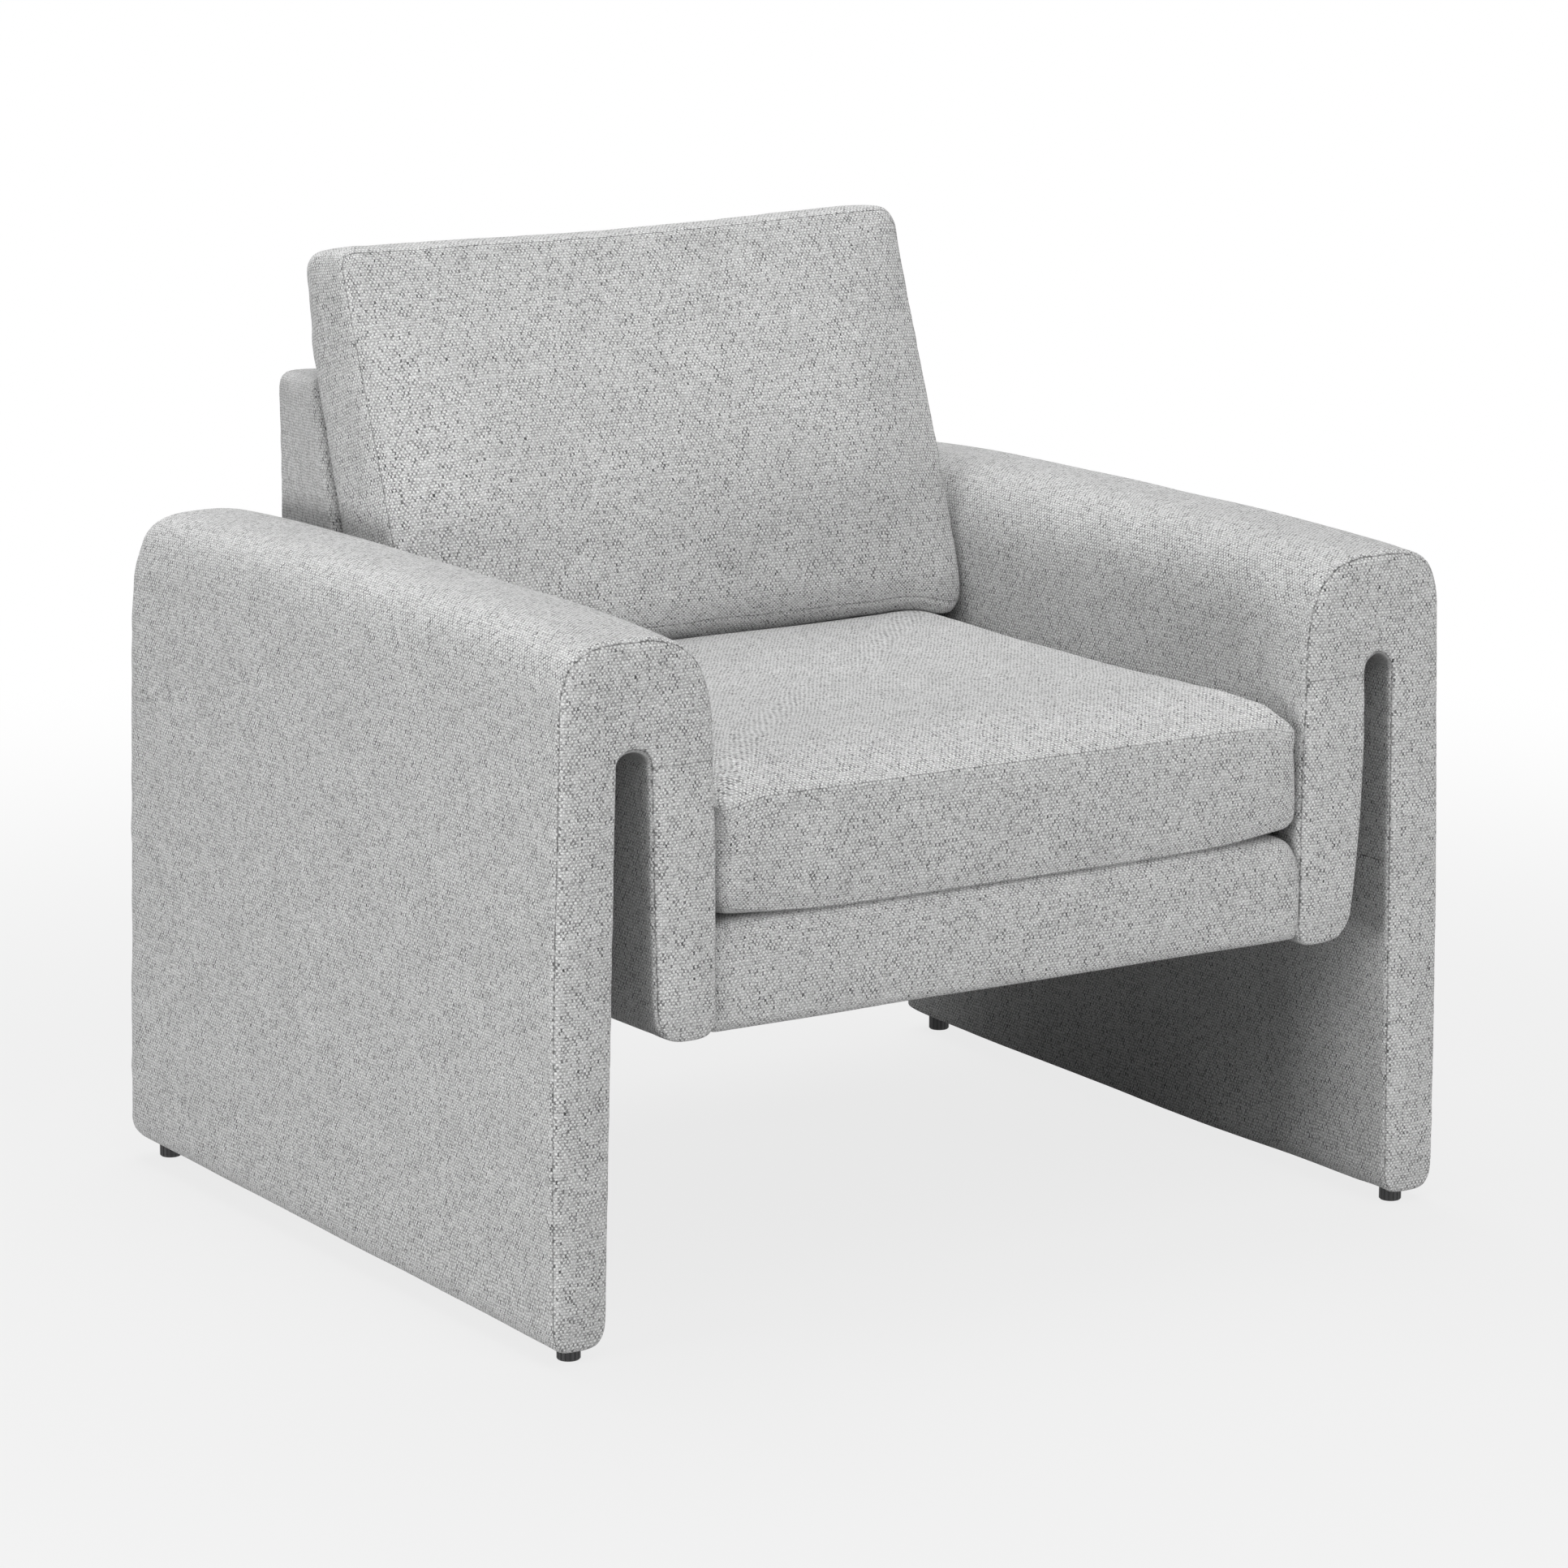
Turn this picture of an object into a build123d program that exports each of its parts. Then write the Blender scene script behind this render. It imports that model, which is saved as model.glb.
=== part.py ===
"""Upholstered armchair with two waterfall arms, a loose seat cushion and a loose back cushion.

Chair frame, in millimetres: +X is the sitter's left-to-right as seen from the front, +Y runs from
the front to the back, +Z is up. The origin lies on the floor under the middle of the chair.
"""

import os
from math import cos, radians, sin, tan

from build123d import *

# ---------------------------------------------------------------- driving dimensions
# overall
overall_width = 860.0
overall_depth = 720.0
arm_width = 145.0
arm_height = 572.0  # crest of the arm, half way along it

# waterfall arm: outer panel, rounded top and inner leg, with a slot between panel and leg
outer_panel_thickness = 54.0
slot_width = 33.0
arch_thickness = 92.0  # from the slot's top to the arm's crest
leg_bottom_height = 243.0
leg_taper = 6.0  # the leg is this much thinner at its foot than at the slot's top
arm_shoulder_radius = 50.0
arm_crown = 8.0  # rise of the arm's top from shoulder to crest, across the arm
arm_end_drop = 10.0  # the arm's top is this much lower at its ends than at its middle
arm_rear_top_radius = 36.0
arm_front_top_radius = 12.0
arm_rear_bottom_radius = 28.0
arm_front_bottom_radius = 10.0
arm_plan_radius = 8.0
leg_bottom_radius = 15.0
panel_bottom_radius = 9.0

# upholstery
crown_margin = 1.0  # keeps two crowns that cross over one top from just touching
fabric_thickness = 1.5
side_foam = 8.0  # on the outside of the outer panel
seat_side_foam = 6.0  # on the seat side of the inner leg
end_foam = 6.0  # round the ends and bottoms of the panels
top_foam = 12.0  # over the arm's top
least_radius = 1.0  # on an inner layer's corners
pad_clearance = 0.5  # between a loose cushion and what it rests on

# arm timber
panel_rail_thickness = 22.0
panel_skin_thickness = 4.0
panel_rail_width = 45.0
inner_core_thickness = 30.0
core_height_over_slot = 20.0
top_skin_thickness = 3.0
rib_thickness = 18.0
rib_count = 5

# seat box
deck_bottom_height = 249.0
deck_height = 84.0
deck_edge_radius = 14.0
deck_plan_radius = 16.0
deck_front_recess = 2.0
rail_thickness = 25.0
deck_pad_thickness = 12.0
corner_block_size = 60.0
corner_block_height = 50.0
dust_cover_thickness = 1.0

# elastic webbing
strap_width = 55.0
strap_thickness = 2.0
long_strap_count = 4
cross_strap_count = 4
back_strap_count = 4
strap_end_gap = 6.0  # from a strap's cut end to the rail's far face
strap_ramp = 10.0  # length over which a strap climbs on to the one it crosses
strap_margin = 1.5  # by which a raised stretch outreaches the strap below it

# back frame
back_lean = 18.0  # degrees from upright
back_frame_height = 678.0
back_frame_top_thickness = 57.0
back_frame_setback = 14.0  # from the rear ends of the arms
back_frame_edge_radius = 14.0
back_wrap_foam = 8.0
post_thickness = 25.0
back_rail_thickness = 22.0
back_rail_width = 50.0
rear_board_thickness = 3.0

# seat cushion
seat_side_gap = 4.0
seat_cushion_border = 96.0
seat_cushion_crown = 24.0
seat_cushion_edge_radius = 12.0
seat_cushion_plan_radius = 16.0

# back cushion
back_cushion_side_gap = 2.0
back_cushion_top_height = 792.0  # of its front seam
back_cushion_border = 85.0
back_cushion_crown = 20.0
back_cushion_edge_radius = 13.0
back_cushion_corner_radius = 26.0
corner_margin = 1.0  # by which the face's outline stands above the top, so that corners cross cleanly

# fasteners
bolt_radius = 4.0
bolt_head_radius = 7.5
bolt_head_height = 4.5
bolt_clearance = 0.3
thread_clearance = 0.05
insert_radius = 6.0
insert_length = 15.0
insert_recess = 10.0  # above the panel's bottom edge
tee_barrel_radius = 5.0
tee_barrel_length = 11.0
tee_flange_radius = 9.5
tee_flange_thickness = 1.5
bolt_head_bevel = 1.5
bolt_socket_radius = 2.4  # across the corners of its hexagon
bolt_socket_depth = 2.7
seat_bolt_count = 3
back_bolt_count = 2
joining_bolt_count = 3
bolt_block_gap = 6.0  # from a corner block to the nearest bolt head
bolt_nose = 3.0  # how far a bolt stands through its tee nut

# levelling feet
foot_height = 20.0
foot_radius = 9.4
foot_end_distance = 22.0
foot_gap = 0.3  # between a foot screwed fully in and the cover above it
foot_flute_count = 16
foot_flute_radius = 0.7
foot_collar_height = 3.0
foot_sole_chamfer = 1.0
foot_socket_depth = 13.0
foot_travel = 10.0
stud_lead_in = 1.0

# ---------------------------------------------------------------- derived places
half_width = overall_width / 2
half_depth = overall_depth / 2
half_seat = half_width - arm_width
slot_top_height = arm_height - arch_thickness
panel_bottom = foot_height + foot_gap
slot_outer_x = half_width - outer_panel_thickness
slot_inner_x = slot_outer_x - slot_width
slot_spring_height = slot_top_height - slot_width / 2
core_top = slot_top_height + core_height_over_slot
core_inset = fabric_thickness + end_foam
deck_top = deck_bottom_height + deck_height
bolt_height = (deck_bottom_height + deck_top) / 2
deck_front = -half_depth + deck_front_recess
lean = radians(back_lean)
lean_slope = tan(lean)
back_rear = half_depth - back_frame_setback
seat_cushion_bottom = deck_top + pad_clearance
seat_seam_height = seat_cushion_bottom + seat_cushion_border

# across the right arm, from outside to inside
panel_outer_x = half_width - fabric_thickness - side_foam
rail_outer_x = panel_outer_x - panel_skin_thickness
rail_inner_x = rail_outer_x - panel_rail_thickness
panel_inner_x = rail_inner_x - panel_skin_thickness
core_inner_x = half_seat + fabric_thickness + seat_side_foam
core_outer_x = core_inner_x + inner_core_thickness
foot_x = (rail_outer_x + rail_inner_x) / 2
foot_y = half_depth - foot_end_distance
post_outer_x = half_seat - fabric_thickness - back_wrap_foam
post_inner_x = post_outer_x - post_thickness
insert_bottom = panel_bottom + core_inset + insert_recess
stud_bottom = foot_height - foot_socket_depth
stud_top = insert_bottom + insert_length + foot_travel  # still fully threaded when lowered


def back_face_y(z):
    """Front face of the back frame at a height."""
    return back_rear - back_frame_top_thickness + (z - back_frame_height) * lean_slope


seat_rear = back_face_y(deck_top)
seat_cushion_rear = seat_rear - pad_clearance
seat_cushion_depth = seat_cushion_rear + half_depth

# seat box timber
box_half = half_seat - fabric_thickness
rail_front = deck_front + fabric_thickness + end_foam
rail_bottom = deck_bottom_height + fabric_thickness
strap_level = deck_top - fabric_thickness - deck_pad_thickness - 2 * strap_thickness
box_inner_front = rail_front + rail_thickness
box_inner_rear = seat_rear - rail_thickness
box_inner_half = box_half - rail_thickness


def seat_top_at(y):
    """Height that the seat cushion's crown stays under along its middle line."""
    along = (y + half_depth) / seat_cushion_depth
    return seat_seam_height + 4 * (seat_cushion_crown + crown_margin) * along * (1 - along)


# ---------------------------------------------------------------- shared shapes


def prism_x(outline, low, high):
    """Extrude a YZ outline along X."""
    return Pos(low, 0, 0) * extrude(Plane.YZ * outline, high - low)


def prism_y(outline, low, high):
    """Extrude an XZ outline along Y."""
    return Pos(0, high, 0) * extrude(Plane.XZ * outline, high - low)


def prism_z(outline, low, high):
    """Extrude an XY outline along Z."""
    return Pos(0, 0, low) * extrude(Plane.XY * outline, high - low)


def block(low, high):
    """Box between two opposite corners."""
    size = [b - a for a, b in zip(low, high)]
    centre = [(a + b) / 2 for a, b in zip(low, high)]
    return Pos(*centre) * Box(*size)


def rod_x(x0, x1, y, z, radius):
    """Cylinder along X."""
    return Pos((x0 + x1) / 2, y, z) * Rot(0, 90, 0) * Cylinder(radius, abs(x1 - x0))


def rod_y(y0, y1, x, z, radius):
    """Cylinder along Y."""
    return Pos(x, (y0 + y1) / 2, z) * Rot(90, 0, 0) * Cylinder(radius, abs(y1 - y0))


def rod_z(z0, z1, x, y, radius):
    """Cylinder along Z."""
    return Pos(x, y, (z0 + z1) / 2) * Cylinder(radius, abs(z1 - z0))


def rounded(points, radii):
    """Closed polygon with its own radius at each corner."""
    shape = make_face(Polyline(*points, close=True))
    return round_corners(shape, points, radii)


def round_corners(shape, points, radii):
    """Fillet each named corner of a flat face that has a radius."""
    for (u, v), radius in zip(points, radii):
        if radius > 0:
            corner = shape.vertices().sort_by_distance(Vector(u, v, 0))[0]
            shape = fillet(corner, radius)
    return shape


def shrunk(radius, inset):
    """Radius of an outside corner once its faces have moved inwards, never quite sharp."""
    return max(radius - inset, least_radius)


def mirrored(part):
    """The same piece on the other side of the chair."""
    return mirror(part, about=Plane.YZ)


def steps(low, high, count):
    """Evenly spaced places from low to high, both included."""
    return [low + (high - low) * i / (count - 1) for i in range(count)]


# ---------------------------------------------------------------- waterfall arm


def arm_section(inset):
    """XZ section of the right arm, drawn this far inside the cover's outer face."""
    outer = half_width - inset
    inner = half_seat + inset
    crest = arm_height - inset
    shoulder = crest - arm_crown
    bottom = panel_bottom + inset
    leg_bottom = leg_bottom_height + inset
    slot_top = slot_top_height + inset
    slot_in = slot_inner_x - inset
    slot_in_low = slot_in - leg_taper
    slot_out = slot_outer_x + inset
    outline = [
        Line((outer, bottom), (outer, shoulder)),
        ThreePointArc((outer, shoulder), ((outer + inner) / 2, crest), (inner, shoulder)),
        Line((inner, shoulder), (inner, leg_bottom)),
        Line((inner, leg_bottom), (slot_in_low, leg_bottom)),
        Line((slot_in_low, leg_bottom), (slot_in, slot_spring_height)),
        ThreePointArc(
            (slot_in, slot_spring_height),
            ((slot_in + slot_out) / 2, slot_top),
            (slot_out, slot_spring_height),
        ),
        Line((slot_out, slot_spring_height), (slot_out, bottom)),
        Line((slot_out, bottom), (outer, bottom)),
    ]
    corners = [
        (outer, shoulder),
        (inner, shoulder),
        (inner, leg_bottom),
        (slot_in_low, leg_bottom),
        (outer, bottom),
        (slot_out, bottom),
    ]
    radii = [arm_shoulder_radius] * 2 + [leg_bottom_radius] * 2 + [panel_bottom_radius] * 2
    return round_corners(make_face(outline), corners, [shrunk(r, inset) for r in radii])


def arm_side(inset):
    """YZ outline of an arm seen from the side."""
    front = -half_depth + inset
    rear = half_depth - inset
    bottom = panel_bottom + inset
    crest = arm_height - inset + crown_margin
    end = arm_height - inset - arm_end_drop
    outline = [
        Line((front, bottom), (front, end)),
        ThreePointArc((front, end), (0, crest), (rear, end)),
        Line((rear, end), (rear, bottom)),
        Line((rear, bottom), (front, bottom)),
    ]
    corners = [(front, bottom), (front, end), (rear, end), (rear, bottom)]
    radii = [
        arm_front_bottom_radius,
        arm_front_top_radius,
        arm_rear_top_radius,
        arm_rear_bottom_radius,
    ]
    return round_corners(make_face(outline), corners, [shrunk(r, inset) for r in radii])


def arm_solid(inset):
    """The whole right arm, this far inside its cover's outer face."""
    depth = overall_depth - 2 * inset
    width = half_width - half_seat - 2 * inset
    plan = RectangleRounded(width, depth, shrunk(arm_plan_radius, inset))
    plan = Pos((half_width + half_seat) / 2, 0) * plan
    body = prism_y(arm_section(inset), -half_depth, half_depth)
    body &= prism_x(arm_side(inset), half_seat, half_width)
    return body & prism_z(plan, 0, arm_height)


def slab(low_z, high_z):
    """Everything on the right arm's side between two heights."""
    return block((0, -overall_depth, low_z), (overall_width, overall_depth, high_z))


def panel_sheet(x0, x1):
    """A sheet of the outer panel with the arm's own corners, from its bottom to the top former."""
    outline = arm_side(core_inset)
    return prism_x(outline, x0, x1) & slab(0, core_top)


def arm_frame():
    """Timber ladder in the outer panel: two stiles and three rails, butted together."""
    whole = panel_sheet(rail_inner_x, rail_outer_x)
    reach = half_depth - core_inset - panel_rail_width
    bottom = panel_bottom + core_inset + panel_rail_width
    top = core_top - panel_rail_width
    middle = (bottom + top) / 2
    half_rail = panel_rail_width / 2
    stiles = [
        whole & block((0, -half_depth, 0), (half_width, -reach, core_top)),
        whole & block((0, reach, 0), (half_width, half_depth, core_top)),
    ]
    between = whole & block((0, -reach, 0), (half_width, reach, core_top))
    rails = [
        between & slab(0, bottom),
        between & slab(middle - half_rail, middle + half_rail),
        between & slab(top, core_top),
    ]
    return [piece - foot_bores() for piece in stiles + rails]


def foot_places():
    """Front and rear places of the right arm's feet."""
    return [-foot_y, foot_y]


def stud_holes():
    """Blind holes for the levelling studs, up from the panel's bottom edge."""
    top = stud_top + bolt_clearance
    return [rod_z(0, top, foot_x, y, bolt_radius + bolt_clearance) for y in foot_places()]


def foot_bores():
    """Holes for the studs, widened where their threaded inserts are driven in."""
    top = insert_bottom + insert_length
    inserts = [rod_z(insert_bottom, top, foot_x, y, insert_radius) for y in foot_places()]
    return stud_holes() + inserts


def seat_bolt_places():
    """Height and depth of the bolts from the seat box into each arm."""
    end = corner_block_size + bolt_block_gap + bolt_head_radius
    places = steps(box_inner_front + end, box_inner_rear - end, seat_bolt_count)
    return [(y, bolt_height) for y in places]


def back_bolt_places():
    """Height and depth of the bolts from the back posts into each arm."""
    low = deck_top + bolt_head_radius
    high = core_top - 2 * bolt_head_radius
    y = (back_rear + back_face_y(high)) / 2
    return [(y, z) for z in steps(low, high, back_bolt_count)]


def arm_bolt_places():
    return seat_bolt_places() + back_bolt_places()


def arm_bolt_holes(radius, x0, x1):
    """Holes along X for every bolt that enters the right arm."""
    return [rod_x(x0, x1, y, z, radius) for y, z in arm_bolt_places()]


def inner_core():
    """Laminated panel in the inner leg, with bores for the tee nuts' barrels."""
    sheet = prism_x(arm_side(core_inset), core_inner_x, core_outer_x)
    sheet &= slab(leg_bottom_height + core_inset, core_top)
    barrel_start = core_outer_x - tee_barrel_length
    sheet -= arm_bolt_holes(bolt_radius + bolt_clearance, core_inner_x, core_outer_x)
    return sheet - arm_bolt_holes(tee_barrel_radius, barrel_start, core_outer_x)


def top_former(inset):
    """The arm's top above the panels, its section this far inside the cover."""
    former = prism_y(arm_section(inset), -half_depth, half_depth) & slab(core_top, arm_height)
    return former & prism_x(arm_side(fabric_thickness + top_foam), half_seat, half_width)


def top_ribs():
    """Plywood ribs that give the arm its round top."""
    inset = fabric_thickness + top_foam + top_skin_thickness
    former = top_former(inset)
    reach = half_depth - inset - arm_rear_top_radius
    ribs = []
    for y in steps(-reach, reach, rib_count):
        low = y - rib_thickness / 2
        ribs.append(former & block((0, low, core_top), (half_width, low + rib_thickness, arm_height)))
    return ribs


def top_skin():
    """Thin board bent over the ribs, from panel to panel."""
    outer = fabric_thickness + top_foam
    return top_former(outer) - prism_y(
        arm_section(outer + top_skin_thickness), -half_depth, half_depth
    )


def arm_timber():
    """Everything stiff inside the right arm, as a space the foam leaves free."""
    panel = panel_sheet(panel_inner_x, panel_outer_x)
    core = prism_x(arm_side(core_inset), core_inner_x, core_outer_x)
    core &= slab(leg_bottom_height + core_inset, core_top)
    return [panel, core, top_former(fabric_thickness + top_foam)]


def arm_foam():
    """The right arm's foam, cut along the slot's spring line into panel, leg and top pieces."""
    foam = arm_solid(fabric_thickness) - arm_timber()
    foam -= arm_tee_nuts()
    foam -= arm_bolt_holes(bolt_radius + bolt_clearance, 0, core_outer_x + bolt_nose + fabric_thickness)
    foam -= stud_holes()
    low = foam & slab(0, slot_spring_height)
    slot_middle = (slot_inner_x + slot_outer_x) / 2
    outer = low & block((slot_middle, -half_depth, 0), (half_width, half_depth, slot_spring_height))
    inner = low & block((half_seat, -half_depth, 0), (slot_middle, half_depth, slot_spring_height))
    return outer, inner, foam & slab(slot_spring_height, arm_height)


def arm_cover():
    """Sewn fabric sleeve round the whole right arm, slot included."""
    sleeve = arm_solid(0) - arm_solid(fabric_thickness)
    sleeve -= arm_bolt_holes(bolt_radius + bolt_clearance, 0, core_inner_x)
    return sleeve - stud_holes()


# ---------------------------------------------------------------- fasteners


def tee_nut():
    """Tee nut with its flange at the origin and its barrel along +Z."""
    nut = Cylinder(tee_flange_radius, tee_flange_thickness, align=(Align.CENTER, Align.CENTER, Align.MIN))
    nut += Cylinder(tee_barrel_radius, tee_barrel_length, align=(Align.CENTER, Align.CENTER, Align.MIN))
    return nut - rod_z(0, tee_barrel_length, 0, 0, bolt_radius + thread_clearance)


def arm_tee_nuts():
    """Tee nuts on the slot side of the right inner leg, barrels towards the seat."""
    flange_x = core_outer_x + tee_flange_thickness
    return [Pos(flange_x, y, z) * Rot(0, -90, 0) * tee_nut() for y, z in arm_bolt_places()]


def foot_inserts():
    """Threaded inserts above the bottom edge of the right outer panel."""
    top = insert_bottom + insert_length
    bores = [rod_z(0, top, foot_x, y, bolt_radius + thread_clearance) for y in foot_places()]
    return [rod_z(insert_bottom, top, foot_x, y, insert_radius) - bores for y in foot_places()]


def button_bolt(length):
    """Bolt along +Z with its head below the origin."""
    shank = Cylinder(bolt_radius, length, align=(Align.CENTER, Align.CENTER, Align.MIN))
    head = Cylinder(bolt_head_radius, bolt_head_height, align=(Align.CENTER, Align.CENTER, Align.MAX))
    head = chamfer(head.edges().group_by(Axis.Z)[0], bolt_head_bevel)
    socket = extrude(RegularPolygon(bolt_socket_radius, 6), bolt_socket_depth)
    return shank + head - Pos(0, 0, -bolt_head_height) * socket


def arm_bolts():
    """Bolts from the seat box and the back posts into the right arm."""
    end_x = core_outer_x + tee_flange_thickness + bolt_nose
    bolts = []
    for start, places in ((box_inner_half, seat_bolt_places()), (post_inner_x, back_bolt_places())):
        bolts += [Pos(start, y, z) * Rot(0, 90, 0) * button_bolt(end_x - start) for y, z in places]
    return bolts


def joining_bolt_places():
    """Places across the chair of the bolts between seat box and back frame."""
    reach = box_inner_half - corner_block_size - bolt_block_gap - bolt_head_radius
    return steps(-reach, reach, joining_bolt_count)


def joining_bolts():
    """Bolts from the seat box's rear rail into the back frame's bottom rail."""
    start = box_inner_rear
    end = seat_rear + fabric_thickness + back_wrap_foam + back_rail_thickness
    bolt = Rot(-90, 0, 0) * button_bolt(end - start)
    return [Pos(x, start, bolt_height) * bolt for x in joining_bolt_places()]


def joining_bolt_holes(radius):
    reach = back_rail_thickness + back_wrap_foam + rail_thickness
    ends = seat_rear - reach, seat_rear + reach
    return [rod_y(*ends, x, bolt_height, radius) for x in joining_bolt_places()]


# ---------------------------------------------------------------- seat box


def front_rail():
    """Timber rail across the front of the seat box."""
    rail = block((-box_half, rail_front, rail_bottom), (box_half, box_inner_front, strap_level))
    return rail & deck_solid(fabric_thickness)


def rear_rail():
    """Timber rail across the rear of the seat box."""
    rail = block((-box_half, box_inner_rear, rail_bottom), (box_half, seat_rear, strap_level))
    return rail - joining_bolt_holes(bolt_radius + bolt_clearance)


def side_rail():
    """Right side rail, between the front and rear rails."""
    low = (box_inner_half, box_inner_front, rail_bottom)
    rail = block(low, (box_half, box_inner_rear, strap_level))
    return rail - arm_bolt_holes(bolt_radius + bolt_clearance, 0, half_seat)


def corner_blocks():
    """Triangular glue blocks in the four corners of the seat box."""
    size = corner_block_size
    wedge = make_face(Polyline((0, 0), (size, 0), (0, size), close=True))
    wedge = Pos(0, 0, rail_bottom) * extrude(wedge, corner_block_height)
    front = Pos(box_inner_half, box_inner_front, 0) * Rot(0, 0, 90) * wedge
    rear = Pos(box_inner_half, box_inner_rear, 0) * Rot(0, 0, 180) * wedge
    return [front, rear, mirrored(front), mirrored(rear)]


def strap_places(low, high, count):
    """Middle lines of straps that share the space from low to high evenly."""
    pitch = (high - low) / count
    return [low + pitch * (i + 0.5) for i in range(count)]


def strap_outline(start, end, crossings, over):
    """Side view of a woven strap: level, and raised wherever it passes over another."""
    lower = [(start, 0)]
    reach = strap_width / 2 + strap_margin
    for place in crossings:
        if over:
            lower += [(place - reach - strap_ramp, 0), (place - reach, strap_thickness)]
            lower += [(place + reach, strap_thickness), (place + reach + strap_ramp, 0)]
        over = not over
    lower.append((end, 0))
    upper = [(along, height + strap_thickness) for along, height in reversed(lower)]
    return Pos(0, strap_level) * make_face(Polyline(*(lower + upper), close=True))


def seat_webbing():
    """Elastic straps woven over the seat box, front to rear and side to side."""
    front = rail_front + strap_end_gap
    rear = seat_rear - strap_end_gap
    side = box_half - strap_end_gap
    long_places = strap_places(-box_inner_half, box_inner_half, long_strap_count)
    cross_places = strap_places(box_inner_front, box_inner_rear, cross_strap_count)
    straps = []
    for i, x in enumerate(long_places):
        outline = strap_outline(front, rear, cross_places, i % 2 == 0)
        straps.append(prism_x(outline, x - strap_width / 2, x + strap_width / 2))
    for i, y in enumerate(cross_places):
        outline = strap_outline(-side, side, long_places, i % 2 == 1)
        straps.append(prism_y(outline, y - strap_width / 2, y + strap_width / 2))
    return straps


def deck_solid(inset):
    """The upholstered seat box, this far inside its cover's outer face."""
    front = deck_front + inset
    half = half_seat - inset
    low = deck_bottom_height + inset
    high = deck_top - inset
    radius = shrunk(deck_edge_radius, inset)
    side = rounded(
        [(front, low), (front, high), (seat_rear, high), (seat_rear, low)],
        [radius, radius, 0, 0],
    )
    face = rounded([(-half, low), (half, low), (half, high), (-half, high)], [0, 0, radius, radius])
    turn = shrunk(deck_plan_radius, inset)
    plan = rounded(
        [(-half, front), (half, front), (half, seat_rear), (-half, seat_rear)],
        [turn, turn, 0, 0],
    )
    body = prism_x(side, -half, half) & prism_y(face, front, seat_rear)
    return body & prism_z(plan, low, high)


def deck_cover():
    """Fabric over the seat box: its front, sides and top, tucked under the front rail."""
    inside = block(
        (-box_half, box_inner_front, 0),
        (box_half, seat_rear, deck_top - fabric_thickness),
    )
    cover = deck_solid(0) - deck_solid(fabric_thickness) - inside
    return cover - arm_bolt_holes(bolt_radius + bolt_clearance, 0, half_seat) - [
        mirrored(hole) for hole in arm_bolt_holes(bolt_radius + bolt_clearance, 0, half_seat)
    ]


def deck_pad():
    """Foam over the webbing and down the front rail."""
    under = deck_top - fabric_thickness - deck_pad_thickness
    timber = block((-half_seat, rail_front, 0), (half_seat, seat_rear, under))
    return deck_solid(fabric_thickness) - timber


def dust_cover():
    """Thin cloth stapled under the seat box, behind the front rail's tuck."""
    low = (-box_half, box_inner_front, rail_bottom - dust_cover_thickness)
    return block(low, (box_half, seat_rear, rail_bottom))


# ---------------------------------------------------------------- back frame


def back_side(inset, strap_cut=0.0):
    """YZ outline of the back frame, optionally cut back along its sloping face for the straps."""
    rear = back_rear - inset
    front = seat_rear + inset
    high = back_frame_height - inset
    low = deck_bottom_height + inset
    slope = (inset + strap_cut) / cos(lean)
    knee = deck_top + (front - seat_rear - slope) / lean_slope
    radius = shrunk(back_frame_edge_radius, inset)
    points = [
        (front, low),
        (front, knee),
        (back_face_y(high) + slope, high),
        (rear, high),
        (rear, low),
    ]
    return rounded(points, [0, 0, radius, radius, radius])


def back_solid(inset, strap_cut=0.0):
    """The upholstered back frame, this far inside its cover's outer face."""
    half = half_seat - inset
    high = back_frame_height - inset
    radius = shrunk(back_frame_edge_radius, inset)
    face = rounded([(-half, 0), (half, 0), (half, high), (-half, high)], [0, 0, radius, radius])
    return prism_x(back_side(inset, strap_cut), -half, half) & prism_y(face, 0, half_depth)


back_timber_inset = fabric_thickness + back_wrap_foam
board_front = back_rear - back_timber_inset - rear_board_thickness
back_rail_bottom = deck_bottom_height + back_timber_inset
back_rail_top = back_frame_height - back_timber_inset


def back_timber(x0, x1, z0, z1):
    """The part of the back's timber space within these bounds, in front of the rear board."""
    space = back_solid(back_timber_inset, strap_thickness)
    return space & block((x0, 0, z0), (x1, board_front, z1))


def back_post():
    """Right wedge-shaped post of the back frame."""
    post = back_timber(post_inner_x, post_outer_x, 0, back_frame_height)
    return post - [
        rod_x(0, half_seat, y, z, bolt_radius + bolt_clearance) for y, z in back_bolt_places()
    ]


def back_top_rail():
    """Rail between the posts' tops, bevelled to the sloping face."""
    low = back_rail_top - back_rail_width
    return back_timber(-post_inner_x, post_inner_x, low, back_rail_top)


def back_middle_rail():
    """Rail half way up, set back so that the straps can give."""
    middle = (back_rail_top + deck_top) / 2
    low = (-post_inner_x, board_front - back_rail_thickness, middle - back_rail_width / 2)
    return block(low, (post_inner_x, board_front, middle + back_rail_width / 2))


def back_bottom_rail():
    """Rail at the bottom, which the seat box is bolted to."""
    front = seat_rear + back_timber_inset
    low = (-post_inner_x, front, back_rail_bottom)
    high = (post_inner_x, front + back_rail_thickness, back_rail_bottom + back_rail_width)
    return block(low, high) - joining_bolt_holes(bolt_radius + bolt_clearance)


def rear_board():
    """Hardboard sheet across the rear of the back frame."""
    space = back_solid(back_timber_inset)
    return space & block((-half_seat, board_front, 0), (half_seat, back_rear, back_frame_height))


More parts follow.
